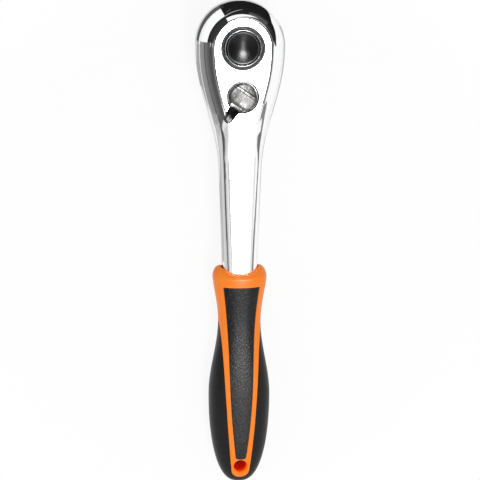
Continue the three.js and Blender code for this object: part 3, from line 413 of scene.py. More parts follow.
def arc(centre, radius, start, end, count):
    """Points of a plane arc, in degrees."""
    angles = [math.radians(mix(start, end, i / count)) for i in range(count + 1)]
    return [(centre[0] + radius * math.cos(a), centre[1] + radius * math.sin(a)) for a in angles]


def spread(start, end, count, crowd=1.0):
    """Places between two ends, crowded towards the second where crowd is over one."""
    return [mix(start, end, 1 - (1 - i / count) ** crowd) for i in range(count + 1)]


# Places that several pieces share, in millimetres and degrees

OVERCUT = 1
SHANK_SEAT, TANG_HALF_WIDTH = -120.0, 6.0
COVER_TOP = HEAD_BOTTOM + 2.4
SCREW_PLACES, SCREW_ROOM = {"left": (-11.5, -21.5), "right": (11.5, -21.5)}, 1.65
PIVOT_AXIS, PIVOT_RADIUS = (0.0, -16.4), 1.25
PIN_BORE, SPRING_BORE = 2.35, 5.35
BUTTON_FLOOR, SPRING_FLOOR = 34.1, 26.1
LEVER_AXIS, LEVER_ANGLE = (0.0, -24.4), 35
PLUNGER_LEVEL = 22.4
HOLE_AT = -216.8


# Shader nodes


def feed(tree, socket, source):
    """Links an input to another node's socket, or gives it a plain value."""
    if isinstance(source, bpy.types.NodeSocket):
        tree.links.new(source, socket)
    else:
        socket.default_value = source


def node(tree, kind, feeds=None, **settings):
    """Adds a shader node with its settings and what feeds its inputs, and returns its outputs."""
    made = tree.nodes.new(f"ShaderNode{kind}")
    for key, value in settings.items():
        setattr(made, key, value)
    for socket, source in (feeds or {}).items():
        feed(tree, made.inputs[socket], source)
    return made.outputs


def place_of(tree):
    """The shaded point in the piece's own coordinates."""
    return node(tree, "TexCoord")["Object"]


def axis_of(tree, axis):
    """One coordinate of the shaded point."""
    return node(tree, "SeparateXYZ", {0: place_of(tree)})[axis]


def ranged(tree, value, start, end, low=0, high=1):
    """A value taken from one range to another and held at both ends."""
    feeds = {"Value": value, "From Min": start, "From Max": end, "To Min": low, "To Max": high}
    return node(tree, "MapRange", feeds)["Result"]


def product(tree, first, second):
    return node(tree, "Math", {0: first, 1: second}, operation="MULTIPLY")[0]


def dimmed(tree, tone, share):
    return node(tree, "VectorMath", {0: tone, "Scale": share}, operation="SCALE")["Vector"]


def blended(tree, factor, first, second):
    return node(tree, "Mix", {"Factor": factor, "A": first, "B": second}, data_type="RGBA")["Result"]


def oval(tree, centre, turn, sides, edge, values):
    """A value that goes from one to another across the soft edge of an oval seen from above."""
    tall = 1e4
    feeds = {
        "Vector": place_of(tree),
        "Location": [value * MM for value in centre],
        "Rotation": (0, 0, turn),
        "Scale": [value * MM for value in (*sides, tall)],
    }
    spot = node(tree, "Mapping", feeds, vector_type="TEXTURE")["Vector"]
    away = node(tree, "VectorMath", {0: spot}, operation="LENGTH")["Value"]
    return ranged(tree, away, *edge, *values)


def new_material(name):
    material = bpy.data.materials.new(name)
    material.use_nodes = True
    return material, material.node_tree


# Shared effects


def node_group(name, inputs, outputs):
    """An empty shader group that textures a place, with number inputs and outputs."""
    group = bpy.data.node_groups.new(name, "ShaderNodeTree")
    group.interface.new_socket("Vector", in_out="INPUT", socket_type="NodeSocketVector")
    for socket, value in inputs.items():
        made = group.interface.new_socket(socket, in_out="INPUT", socket_type="NodeSocketFloat")
        made.default_value = value
    for socket in outputs:
        group.interface.new_socket(socket, in_out="OUTPUT", socket_type="NodeSocketFloat")
    return group, group.nodes.new("NodeGroupInput").outputs, group.nodes.new("NodeGroupOutput").inputs


@cache
def grain_group():
    """Spark-eroded or cast grain: a height for Bump and a speckle mask."""
    group, start, end = node_group("Moulded grain", {"Scale": 900, "Speckle": 0.5}, ("Height", "Mask"))
    spot = {"Vector": start["Vector"], "Scale": start["Scale"]}
    noise = node(group, "TexNoise", {**spot, "Detail": 5, "Roughness": 0.7})["Fac"]
    cells = node(group, "TexVoronoi", spot)["Distance"]
    height = node(group, "Math", {0: cells, 1: 0.5, 2: noise}, operation="MULTIPLY_ADD")[0]
    feed(group, end["Height"], height)
    feed(group, end["Mask"], product(group, ranged(group, noise, 0.5, 0.72), start["Speckle"]))
    return group


@cache
def marks_group():
    """Handling marks: a roughness that drifts between two values."""
    defaults = {"Scale": 60, "Low": 0.1, "High": 0.2}
    group, start, end = node_group("Handling marks", defaults, ("Roughness", "Drift"))
    spot = {"Vector": start["Vector"], "Scale": start["Scale"]}
    noise = node(group, "TexNoise", {**spot, "Detail": 6, "Roughness": 0.62})["Fac"]
    feed(group, end["Roughness"], ranged(group, noise, 0.3, 0.7, start["Low"], start["High"]))
    feed(group, end["Drift"], noise)
    return group


# Finishes


def painted_shade_saddle(tree, surface):
    """Paints shade on the lever between its disc and the tip of its tab, darkening its colour there."""
    turn, away = math.radians(LEVER_ANGLE), 9
    saddle = (LEVER_AXIS[0] - away * math.sin(turn), LEVER_AXIS[1] - away * math.cos(turn), HEAD_TOP)
    # painted shade: inside this oval the lever's colour falls to a twentieth
    share = oval(tree, saddle, -turn, sides=(4.6, 3.4), edge=(0.75, 1.1), values=(0.05, 1))
    tone = surface["Base Color"].links[0].from_socket
    feed(tree, surface["Base Color"], dimmed(tree, tone, share))


def painted_shade_and_glow_bore(tree, surface):
    """Paints the hanging hole's wall deep red as shade low down, grading up to orange, with a weak painted
    glow near the top.
    """
    orange = (*bpy.context.scene.ratchet_finishes.orange, 1)
    lit = ranged(tree, axis_of(tree, "Z"), (MID_PLANE + 1.5) * MM, (MID_PLANE + 7.5) * MM)
    tone = blended(tree, lit, surface["Base Color"].links[0].from_socket, orange)
    feed(tree, surface["Base Color"], tone)
    # painted glow: the upper wall emits part of its own tone
    feed(tree, surface["Emission Color"], dimmed(tree, tone, ranged(tree, lit, 0.3, 1, 0, 0.45)))
    feed(tree, surface["Emission Strength"], 1)


class Finish(NamedTuple):
    """How a material is laid on.

    colour names the property that two tones are shaded from; the marks or, if speckled, the grain
    blend them. marks is (scale, low, high) of the roughness, and grain is (scale, speckle, bump
    strength, bump height in mm). brushed draws the grain out along a direction, in degrees from +Y,
    nose is the share of bump that the nose keeps, and extra adds nodes of its own."""

    colour: str
    shades: tuple
    metallic: int
    marks: tuple
    grain: tuple = None
    specular: float = 0.5
    speckled: bool = False
    brushed: float = None
    nose: float = None
    extra: object = None


RUBBER_MARKS = (90, 0.33, 0.42)
FINISHES = {
    "mirror_chrome": Finish("chrome", (1, 1.06), 1, (420, 0.03, 0.07), (620, 0, 0.5, 0.034), nose=0.3),
    "cast_lever_steel": Finish(
        "cast", (0.5, 1.6), 1, (500, 0.24, 0.36), (1500, 1, 0.5, 0.05),
        speckled=True, brushed=-LEVER_ANGLE, extra=painted_shade_saddle,
    ),
    "phosphated_steel": Finish("dark_steel", (1, 1.5), 1, (300, 0.25, 0.42), (2200, 0.6, 0.15, 0.05)),
    "turned_hub_steel": Finish("bright_steel", (0.42, 0.55), 1, (600, 0.14, 0.26)),
    "drawn_steel": Finish("bright_steel", (1, 1.15), 1, (700, 0.16, 0.3)),
    "button_gloss": Finish(
        "button", (1, 2), 0, (260, 0.2, 0.26), (2600, 0.3, 0.04, 0.02), specular=0.24
    ),
    # one rubber laid on as lit and shaded copies: the sides' dim flecks and weak shine are painted shade,
    # the panels' bright flecks and stronger shine a painted sheen
    "side_grip_rubber": Finish(
        "rubber", (0.25, 1.2), 0, RUBBER_MARKS, (1300, 0.8, 0.35, 0.1), specular=0.19, speckled=True
    ),
    "panel_grip_rubber": Finish(
        "rubber", (0.2, 2.3), 0, RUBBER_MARKS, (900, 0.9, 0.9, 0.19), specular=0.27, speckled=True
    ),
    "ring_rubber": Finish("seal", (1, 1.8), 0, (300, 0.45, 0.6)),
    "moulded_orange": Finish(
        "orange", (1, 1.1), 0, (120, 0.34, 0.44), (1300, 0.4, 0.08, 0.06), specular=0.3
    ),
    # painted shade: the bore's orange with its green and blue cut to three tenths, a deep red
    "moulded_orange_bore": Finish(
        "orange", ((1, 0.3, 0.3), (1.1, 0.33, 0.33)), 0, (120, 0.6, 0.8), specular=0, extra=painted_shade_and_glow_bore
    ),
}
BRUSH_STRETCH = (1, 8, 1)
BUMP_FADE = (-60 * MM, 5 * MM)


def shade(base, factor):
    """A colour times one factor, or times one for each channel."""
    factors = factor if isinstance(factor, tuple) else (factor,) * 3
    return (*(min(1, channel * share) for channel, share in zip(base, factors)), 1)


@cache
def finish(name):
    """A material whose colour, roughness and bump follow handling marks and grain."""
    recipe = FINISHES[name]
    material, tree = new_material(name)
    surface = tree.nodes["Principled BSDF"].inputs
    feed(tree, surface["Metallic"], recipe.metallic)
    feed(tree, surface["Specular IOR Level"], recipe.specular)
    place = place_of(tree)
    marks = dict(zip(("Scale", "Low", "High"), recipe.marks))
    wear = node(tree, "Group", {"Vector": place, **marks}, node_tree=marks_group())
    feed(tree, surface["Roughness"], wear["Roughness"])
    factor = wear["Drift"]
    if recipe.grain:
        scale, speckle, strength, height = recipe.grain
        if recipe.brushed is not None:
            turn = (0, 0, math.radians(recipe.brushed))
            feeds = {"Vector": place, "Rotation": turn, "Scale": BRUSH_STRETCH}
            place = node(tree, "Mapping", feeds, vector_type="TEXTURE")["Vector"]
        feeds = {"Vector": place, "Scale": scale, "Speckle": speckle}
        texture = node(tree, "Group", feeds, node_tree=grain_group())
        relief = texture["Height"]
        if recipe.nose is not None:
            share = ranged(tree, axis_of(tree, "Y"), *BUMP_FADE, 1, recipe.nose)
            relief = product(tree, relief, share)
        bump = node(tree, "Bump", {"Strength": strength, "Distance": height * MM, "Height": relief})
        feed(tree, surface["Normal"], bump["Normal"])
        if recipe.speckled:
            factor = texture["Mask"]
    base = getattr(bpy.context.scene.ratchet_finishes, recipe.colour)
    tones = [shade(base, share) for share in recipe.shades]
    feed(tree, surface["Base Color"], blended(tree, factor, *tones))
    if recipe.extra:
        recipe.extra(tree, surface)
    return material


# The forged body

NECK_START, NECK_END = -36.0, -60.0
SWEEP = math.radians(62)
FOOT_STEPS, SHOULDER_STEPS, RIM_STEPS = 6, 18, 8
NOSE_STEPS, NECK_STEPS, SHANK_STEPS = 36, 40, 10
GEAR_ROOM, GEAR_ROOF = 13.9, 31.5
DISC_ROOM, DISC_SEAT = 7.6, 37.5
CLIP_ROOM, CLIP_ROOF, SPINDLE_ROOM = 5.8, 27.2, 3.75
PAWL_ROOM, PAWL_ROOF = 19.3, 25.9
COVER_NOSE, COVER_TAIL, COVER_BACK, COVER_STEPS = HEAD_RADIUS - 4.1, 15.5, 18.0, 40


class Section(NamedTuple):
    """Half a section of the body: its levels, and how far its roundings reach in and fall."""

    top: float
    bottom: float
    shoulder: float
    drop: float
    rim: float
    rim_drop: float
    foot: float
    rise: float


TANG_SECTION = Section(
    MID_PLANE + 4.5, MID_PLANE - 4.5, shoulder=1.0, drop=1.0, rim=0.2, rim_drop=0.1, foot=1.2, rise=1.1
)


def head_section(sizes):
    upper = {"shoulder": sizes.shoulder, "drop": sizes.shoulder_drop, "rim": sizes.rim, "rim_drop": 0.6}
    return Section(HEAD_TOP, HEAD_BOTTOM, **upper, foot=sizes.foot, rise=4.0)


def shank_section(sizes):
    half = sizes.shank_thickness / 2
    upper = {"shoulder": 2.6, "drop": 4.2, "rim": sizes.shank_rim, "rim_drop": 0.5}
    return Section(MID_PLANE + half, MID_PLANE - half, **upper, foot=3.8, rise=4.6)


def section_rows(section):
    """Half a section, from the bottom to the flat top: how far in, and how high."""
    rows = []
    for i in range(FOOT_STEPS + 1):
        a = math.pi / 2 * (1 - i / FOOT_STEPS)
        rows.append((section.foot * (1 - math.cos(a)), section.bottom + section.rise * (1 - math.sin(a))))
    top = section.top - section.rim_drop
    for i in range(SHOULDER_STEPS + 1):
        a = SWEEP * i / SHOULDER_STEPS
        inward = section.shoulder * (1 - math.cos(a)) / (1 - math.cos(SWEEP))
        rows.append((inward, top - section.drop * (1 - math.sin(a) / math.sin(SWEEP))))
    for i in range(1, RIM_STEPS + 1):
        t = i / RIM_STEPS
        rows.append((section.shoulder + section.rim * t, top + section.rim_drop * (1 - (1 - t) ** 2)))
    return rows


def body_ring(x, y, nx, ny, section, grow=0.0):
    """One closed section of the body across its plan outline."""
    right = []
    for inset, z in section_rows(section):
        out = grow - inset
        right.append((x + nx * out, y + ny * out, z + math.copysign(grow, z - MID_PLANE)))
    left = [(-px, py, pz) for px, py, pz in reversed(right)]
    return [*right, *left, right[0]]


def shank_ring(y, sizes, grow=0.0):
    t = (y - NECK_END) / (MOUTH_EDGE - NECK_END)
    width = mix(sizes.neck_width, sizes.shank_width, t)
    return body_ring(width / 2, y, 1, 0, shank_section(sizes), grow)


def tang_ring(y, grow=0.0):
    return body_ring(TANG_HALF_WIDTH, y, 1, 0, TANG_SECTION, grow)


def body_rings(sizes):
    """Sections from the nose round the head, down the neck and along the shank to the tang."""
    head, shank = head_section(sizes), shank_section(sizes)
    rings = []
    for i in range(NOSE_STEPS):
        a = math.pi / 2 * (1 - i / NOSE_STEPS)
        nx, ny = (0.0, 1.0) if i == 0 else (math.cos(a), math.sin(a))
        rings.append(body_ring(HEAD_RADIUS * nx, HEAD_RADIUS * ny, nx, ny, head))
    half = sizes.neck_width / 2
    pulls = (HEAD_RADIUS, NECK_START * 0.67), (half * 1.18, NECK_START)
    side = bezier((HEAD_RADIUS, 0), *pulls, (half, NECK_END), NECK_STEPS)
    for i, (x, y) in enumerate(side):
        before, after = side[max(i - 1, 0)], side[min(i + 1, NECK_STEPS)]
        dx, dy = after[0] - before[0], after[1] - before[1]
        size = math.hypot(dx, dy)
        t = 1 - ease((y - NECK_END) / (NECK_START - NECK_END))
        section = Section(*(mix(a, b, t) for a, b in zip(head, shank)))
        rings.append(body_ring(x, y, -dy / size, dx / size, section))
    for i in range(SHANK_STEPS):
        rings.append(shank_ring(mix(NECK_END, SHANK_SEAT, (i + 1) / SHANK_STEPS), sizes))
    return rings + [tang_ring(y) for y in (SHANK_SEAT - 0.15, TANG_END)]


def cover_outline(grow):
    """The pear outline of the cover plate."""
    nose, tail = COVER_NOSE + grow, COVER_TAIL + grow
    lean = math.degrees(math.asin((nose - tail) / COVER_BACK))
    return [
        *arc((0, 0), nose, -lean, 180 + lean, COVER_STEPS),
        *arc((0, -COVER_BACK), tail, 180 + lean, 360 - lean, COVER_STEPS),
    ]


def body_cutters(hub, sink):
    """The pockets and bores of the head."""
    low, high = HEAD_BOTTOM - OVERCUT, HEAD_TOP + OVERCUT
    sunk = hub + sink
    gear = [(0, low), (GEAR_ROOM, low), (GEAR_ROOM, GEAR_ROOF), (hub, GEAR_ROOF), (hub, HEAD_TOP - sink)]
    gear += [(sunk - 0.25, HEAD_TOP - 0.25), (sunk + 0.05, HEAD_TOP), (sunk + 0.35, high), (0, high)]
    yield turned("gear_pocket", gear, 128)
    lever = [(0, low), (DISC_ROOM, low), (DISC_ROOM, PAWL_ROOF), (CLIP_ROOM, PAWL_ROOF)]
    lever += [(CLIP_ROOM, CLIP_ROOF), (SPINDLE_ROOM, CLIP_ROOF), (SPINDLE_ROOM, DISC_SEAT)]
    lever += [(DISC_ROOM, DISC_SEAT), (DISC_ROOM, HEAD_TOP - 0.7), (8.1, HEAD_TOP - 0.1), (8.3, HEAD_TOP)]
    yield turned("lever_pocket", [*lever, (8.8, high), (0, high)], 96, LEVER_AXIS)
    yield slab("pawl_pocket", [(0, 0), *arc((0, 0), PAWL_ROOM, -150, -30, 32)], low, PAWL_ROOF)
    yield turned("pivot_hole", rod(PIVOT_RADIUS, 18, 29.35), 24, PIVOT_AXIS)
    for place in SCREW_PLACES.values():
        yield turned("screw_hole", rod(SCREW_ROOM, 15, 25.5), 24, place)
    yield slab("cover_seat", cover_outline(0.15), low, COVER_TOP)


class RATCHET_OT_forging(bpy.types.Operator):
    """Lofts the forged body and cuts its pockets"""

    bl_idname = "ratchet.forging"
    bl_label = "Forged body"

    def execute(self, context):
        sizes, hub = measured("ratchet_head"), measured("ratchet_drive").hub_radius
        body = skin("forged_body", body_rings(sizes), close=True)
        for cutter in body_cutters(hub + 0.3, sizes.hub_sink):
            combine(body, cutter)
        dress(body, finish("mirror_chrome"), "frame", "ratchet_body", angle=24)
        hub_reach, lever_reach = hub + sizes.hub_sink + 0.4, 8.5

        # dark steel on the hub's bevel, in the lever's recess and on the pocket roofs; in the lever's
        # recess it is painted shade along the gap round the disc
        def dark_recess_faces(x, y, z, normal):
            round_hub = math.hypot(x, y) < hub_reach
            round_lever = math.hypot(x - LEVER_AXIS[0], y - LEVER_AXIS[1]) < lever_reach
            inside = normal.z < -0.9 and z > COVER_TOP - 0.1
            return (round_hub or round_lever) and z < HEAD_TOP - 0.02 or inside

        face_finish(body, finish("phosphated_steel"), dark_recess_faces)
        return {"FINISHED"}


# Cover plate and screws

SINK_RADIUS = 2.85
SCREW_LENGTH, THREAD_RADIUS, THREAD_RINGS, THREAD_PITCH = 8, 1.5, 9, 0.6
RECESS_LENGTH, RECESS_WIDTH, RECESS_DEPTH = 3.5, 0.7, 0.75


class RATCHET_OT_cover(bpy.types.Operator):
    """Models the cover plate and its two screws"""

    bl_idname = "ratchet.cover"
    bl_label = "Cover plate"

    def execute(self, context):
        plate = slab("cover_lid", cover_outline(0), HEAD_BOTTOM, COVER_TOP, edge=0.35)
        collar = measured("ratchet_drive").collar_radius + 0.3
        low, high = HEAD_BOTTOM - OVERCUT, COVER_TOP + OVERCUT
        bore = [(0, low), (collar + 1, low), (collar + 0.3, HEAD_BOTTOM), (collar, HEAD_BOTTOM + 0.3)]
        combine(plate, turned("collar_hole", [*bore, (collar, high), (0, high)], 96))
        sink = [(0, low), (SINK_RADIUS, low), (SINK_RADIUS, HEAD_BOTTOM + 0.08)]
        sink += [(SCREW_ROOM, HEAD_BOTTOM + 1.28), (SCREW_ROOM, high), (0, high)]
        for place in SCREW_PLACES.values():
            combine(plate, turned("countersink", sink, 48, place))
        combine(plate, turned("pin_hole", rod(PIVOT_RADIUS, 17.55, high), 24, PIVOT_AXIS))
        dress(plate, finish("mirror_chrome"), "frame", "cover_plate")
        (first, start), (second, end) = SCREW_PLACES.items()
        screw = self.screw(f"cover_fastener_{first}", start)
        twin = copied(screw, f"cover_fastener_{second}")
        twin.data.transform(Matrix.Translation(((end[0] - start[0]) * MM, (end[1] - start[1]) * MM, 0)))
        for side, piece in ((first, screw), (second, twin)):
            dress(piece, finish("phosphated_steel"), "frame", f"cover_screw_{side}")
        return {"FINISHED"}

    def screw(self, name, place):
        """A countersunk screw with plain thread rings and a cross recess."""
        base, end = HEAD_BOTTOM, HEAD_BOTTOM + SCREW_LENGTH
        profile = [(0, base), (2.45, base), (2.7, base + 0.2), (THREAD_RADIUS, base + 1.2)]
        for i in range(THREAD_RINGS):
            z = base + 2 + i * THREAD_PITCH
            profile += [(THREAD_RADIUS, z), (THREAD_RADIUS - 0.25, z + THREAD_PITCH / 2)]
        screw = turned(name, [*profile, (1.1, end), (0, end)], 40, place)
        for x, y in ((RECESS_LENGTH, RECESS_WIDTH), (RECESS_WIDTH, RECESS_LENGTH)):
            low = (place[0] - x / 2, place[1] - y / 2, base - OVERCUT)
            high = (place[0] + x / 2, place[1] + y / 2, base + RECESS_DEPTH)
            combine(screw, block("blade", low, high))
        return screw


# Drive, ball and button

TEETH, TOOTH_TIP, TOOTH_ROOT = 48, 13.6, 12.75
COLLAR_ROOF, RING_FLOOR, RING_ROOF, RING_BED = 20.2, 31.7, 32.9, 8.3
BALL_LEVEL = 7.4
BALL_STEPS, WEAR_DEPTH, WEAR_AT, WEAR_SPREAD = 32, 0.015, 62, 9
STEM_TOP, BOSS_RADIUS, DISH_STEPS = 38.55, 3.4, 20


def gear_outline():
    """The toothed outline of the gear, with a tooth space at -Y."""
    pitch = 360 / TEETH
    flat = pitch * 0.09
    rise = [(TOOTH_TIP, flat - pitch / 2), (TOOTH_ROOT, -flat)]
    fall = [(TOOTH_ROOT, flat), (TOOTH_TIP, pitch / 2 - flat)]
    points = []
    for tooth in range(TEETH):
        middle = tooth * pitch - 90
        for radius, offset in rise + fall:
            angle = math.radians(middle + offset)
            points.append((radius * math.cos(angle), radius * math.sin(angle)))
    return points


class RATCHET_OT_drive(bpy.types.Operator):
    """Models the gear with its hub and square, and the detent ball"""

    bl_idname = "ratchet.drive"
    bl_label = "Drive"

    def execute(self, context):
        sizes = measured("ratchet_drive")
        hub, collar, half = sizes.hub_radius, sizes.collar_radius, sizes.square / 2
        top, low = HEAD_TOP + 0.4, HEAD_BOTTOM - 1
        cup = sizes.button_radius + 0.15
        profile = [(0, low), (collar - 0.3, low), (collar, low + 0.3), (collar, COLLAR_ROOF)]
        profile += [(hub, COLLAR_ROOF), (hub, RING_FLOOR), (RING_BED, RING_FLOOR), (RING_BED, RING_ROOF)]
        profile += [(hub, RING_ROOF), *arc((hub - 0.2, top - 0.2), 0.2, 0, 180, 8)]
        profile += [(cup, top - 0.7), (cup, BUTTON_FLOOR), (SPRING_BORE, BUTTON_FLOOR)]
        profile += [(SPRING_BORE, SPRING_FLOOR), (PIN_BORE, SPRING_FLOOR), (PIN_BORE, 16.2), (0, 16.2)]
        drive = turned("square_drive", profile, 128)
        combine(drive, slab("gear_ring", gear_outline(), 19.2, 31.2), "UNION")
        bore = [(0, 16), (PIN_BORE, 16), (PIN_BORE, SPRING_FLOOR), (SPRING_BORE, SPRING_FLOOR)]
        combine(drive, turned("release_bore", [*bore, (SPRING_BORE, BUTTON_FLOOR), (0, BUTTON_FLOOR)], 64))
        combine(drive, self.square(half, sizes.square_edge), "UNION")
        combine(drive, turned("pin_bore", rod(PIN_BORE, 2.2, 17), 64))
        combine(drive, self.ball_hole(half))
        dress(drive, finish("phosphated_steel"), "drive", "drive_gear")

        def rubbed(x, y, z, normal):
            return z < low - 0.01 and math.hypot(x, y) > PIN_BORE + 0.05

        face_finish(drive, finish("turned_hub_steel"), lambda x, y, z, normal: z > top - 0.2)
        face_finish(drive, finish("drawn_steel"), rubbed)
        self.ball()
        return {"FINISHED"}

    def square(self, half, edge):
        """A bar bevelled along its long edges and chamfered at its tip."""
        bar = block("square_bar", (-half, -half, 0), (half, half, HEAD_BOTTOM - 0.5))
        pick(bar, lambda a, b: abs(a.co.z - b.co.z) > MM)
        mode("EDIT")
        bpy.ops.mesh.select_mode(type="EDGE")
        bpy.ops.mesh.bevel(offset=edge * MM, segments=5, affect="EDGES")
        select("DESELECT")
        mode("OBJECT")
        pick(bar, lambda a, b: max(a.co.z, b.co.z) < 0.1 * MM)
        mode("EDIT")
        bpy.ops.mesh.bevel(offset=0.9 * MM, segments=3, affect="EDGES")
        bpy.ops.mesh.select_mode(type="VERT")
        mode("OBJECT")
        return weld(moved(bar, lambda x, y, z: (x, y, max(0, z))))

    def ball_hole(self, half):
        """A bore from the axis to the +X face, with a staked lip."""
        bore, lip, plane, end = 2.65, 2.24, half - 0.45, half + 2
        profile = [(0, 0), (bore, 0), (bore, plane), (lip, plane), (lip, end), (0, end)]
        hole = turned("ball_bore", profile, 48)
        return weld(moved(hole, lambda x, y, z: (z, y, BALL_LEVEL - x)))

    def ball(self):
        """The detent ball, with the worn ring that a socket rubs on it."""
        low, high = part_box("detent_ball")
        centre, radius = (low + high) / 2 / MM, mm(high.z - low.z) / 2
        profile = []
        for i in range(BALL_STEPS + 1):
            angle = math.radians(mix(-90, 90, i / BALL_STEPS))
            worn = WEAR_DEPTH * math.exp(-(((math.degrees(angle) - WEAR_AT) / WEAR_SPREAD) ** 2))
            profile.append((max(0, (radius - worn) * math.cos(angle)), (radius - worn) * math.sin(angle)))
        profile[0], profile[-1] = (0, -radius), (0, radius)
        ball = turned("socket_ball", profile, 48)
        moved(ball, lambda x, y, z: (centre.x + z, centre.y + y, centre.z - x))
        dress(weld(ball), finish("drawn_steel"), "ball", "detent_ball", angle=60)


class RATCHET_OT_button(bpy.types.Operator):
    """Turns the dished release button"""

    bl_idname = "ratchet.button"
    bl_label = "Release button"

    def execute(self, context):
        sizes = measured("ratchet_drive")
        radius, depth = sizes.button_radius, sizes.dish_depth
        low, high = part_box("release_button")
        top, boss = mm(high.z), mm(low.z)
        bottom, dish = boss + 2, radius - 0.6
        profile = [(0, STEM_TOP), (PIN_BORE, STEM_TOP), (PIN_BORE, boss)]
        profile += [(BOSS_RADIUS, boss), (BOSS_RADIUS, bottom), (radius, bottom)]
        profile += arc((radius - 0.35, top - 0.35), 0.35, 0, 90, 6)
        for i in range(DISH_STEPS + 1):
            t = 1 - i / DISH_STEPS
            profile.append((dish * t, top - depth * math.cos(math.pi / 2 * t)))
        button = turned("dished_button", profile, 96)
        dress(button, finish("button_gloss"), "button", "release_button")
        return {"FINISHED"}


# Reversing lever

LEVER_RIDGE, RIDGE_FOOT, RIDGE_EDGE = 2.8, 0.85, 0.45
LEVER_CROWN, LEVER_BROW = 0.35, 1.1
BROW_STEPS, CROWN_STEPS, LEVER_STEPS, TIP_STEPS = 6, 8, 56, 6
TAB_ROOT, TAB_LIFT = -4.2, 7.5
DISC_FLOOR, DISC_END = 37.65, -6.3
SPINDLE = 3.6


def lever_half_width(t, sizes):
    """Half the lever's plan width at a place along its tab."""
    disc, tip = sizes.disc_radius, sizes.tip_radius
    end = tip - sizes.reach
    if t < end:
        return math.sqrt(max(0, tip * tip - (t - end) ** 2))
    if t > TAB_ROOT:
        return math.sqrt(max(0, disc * disc - t * t))
    along = (t - end) / (TAB_ROOT - end)
    root = math.sqrt(disc * disc - TAB_ROOT**2)
    neck = mix(tip, sizes.waist, ease(min(1, along * 2.2)))
    return mix(neck, root, max(0, (along - 0.3) / 0.7) ** 2.2)


def lever_height(t, sizes):
    """Height of the lever's top over the head, along its tab."""
    ridge, tip, reach = sizes.ridge_height, sizes.tip_height, sizes.reach
    stops = [
        (sizes.disc_radius, 0.02),
        (LEVER_RIDGE + RIDGE_FOOT, 0.75),
        (LEVER_RIDGE + RIDGE_EDGE, ridge),
        (LEVER_RIDGE - RIDGE_EDGE, ridge),
        (LEVER_RIDGE - RIDGE_FOOT, ridge - 0.3),
        (-3.9, 1.05),
        (-5.3, 0.72),
        (-7, 1.1),
        (-9, tip - 0.8),
        (-10.8, tip - 0.12),
        (-12, tip),
        (-reach + 0.9, tip - 0.2),
        (-reach, tip - 0.6),
    ]
    for (t0, h0), (t1, h1) in zip(stops, stops[1:]):
        if t >= t1:
            return mix(h0, h1, (t0 - t) / (t0 - t1))
    return stops[-1][1]


class RATCHET_OT_lever(bpy.types.Operator):
    """Lofts the cast reversing lever along its tab"""

    bl_idname = "ratchet.lever"
    bl_label = "Reversing lever"

    def execute(self, context):
        casting = skin("reverse_lever", self.rings(measured("ratchet_lever")), close=True)
        low, high = mm(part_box("reversing_lever")[0].z), DISC_FLOOR + 1
        profile = [(0, low), (SPINDLE - 0.3, low), (SPINDLE, low + 0.3)]
        for groove, bottom, top in ((3.0, 26.05, 27.05), (2.6, 31.8, 32.9)):
            profile += [(SPINDLE, bottom), (groove, bottom), (groove, top), (SPINDLE, top)]
        combine(casting, turned("spindle", [*profile, (SPINDLE, high), (0, high)], 96), "UNION")
        bore = turned("plunger_bore", rod(1.55, -2.6, 7.2), 40)
        combine(casting, weld(moved(bore, lambda x, y, z: (x, z, PLUNGER_LEVEL + y))))
        casting.data.transform(Matrix.Rotation(math.radians(-LEVER_ANGLE), 4, "Z"))
        casting.data.transform(Matrix.Translation((LEVER_AXIS[0] * MM, LEVER_AXIS[1] * MM, 0)))
        dress(casting, finish("cast_lever_steel"), "lever", "reversing_lever", angle=35)
        return {"FINISHED"}

    def rings(self, sizes):
        """Sections at the ridge's edges, the disc's end and the tip, and evenly between."""
        disc, end = sizes.disc_radius, -sizes.reach
        places = {disc - 0.02, DISC_END + 0.02, DISC_END - 0.02}
        for step in (RIDGE_FOOT, RIDGE_EDGE, 0.35):
            places |= {LEVER_RIDGE + step, LEVER_RIDGE - step}
        places |= {mix(disc - 0.05, end + 0.4, i / LEVER_STEPS) for i in range(LEVER_STEPS + 1)}
        places |= {end + 0.4 * (i / TIP_STEPS) ** 2 + 0.005 for i in range(TIP_STEPS + 1)}
        return [self.ring(t, sizes) for t in sorted(places, reverse=True)]

    def ring(self, t, sizes):
        """One closed section: flat below, with a rounded brow above."""
        width = lever_half_width(t, sizes)
        top = HEAD_TOP + lever_height(t, sizes)
        lifted = HEAD_TOP + 0.5 + 0.6 * max(0.0, (-t - TAB_LIFT) / TAB_LIFT)
        under = DISC_FLOOR if t > DISC_END else lifted
        brow = min(LEVER_BROW, width * 0.6, (top - under) * 0.8)
        right = [(width * 0.5, under), (width, under)]
        right += [(width - brow + x, top - brow + z) for x, z in arc((0, 0), brow, 0, 90, BROW_STEPS)]
        crown = LEVER_CROWN * (width / sizes.disc_radius) ** 2
        for i in range(1, CROWN_STEPS):
            out = 1 - i / CROWN_STEPS
            right.append(((width - brow) * out, top + crown * (1 - out**2)))
        left = [(-x, z) for x, z in reversed(right)]
        return [(x, t, z) for x, z in [*right, *left, right[0]]]


# Handle

COLLAR_AT, WAIST_AT, BELLY_AT = -118.0, -141.6, -179.6
COLLAR_SIZE, WAIST_SIZE = (COLLAR_HALF_WIDTH, 12.4), (10.8, 10.0)
BELLY_SIZE = (BELLY_HALF_WIDTH, 13.2)
SQUARENESS = 2.3
PANEL_TOP, PANEL_END = -121.6, -212.4
PANEL_TURN, PANEL_SIDE = PANEL_END + 1.4, PANEL_END + 1
FRAME_TOP, TONGUE_SIDE, TONGUE_END = -134.0, -219.0, -223.0
STRIPE_SPANS, FRONT_SPANS, PANEL_SPANS, SIDE_SPANS, BED_SPANS = 14, 10, 24, 40, 64
COLLAR_STEPS, MOUTH_STEPS = 14, 3
TANG_GAP = 0.2


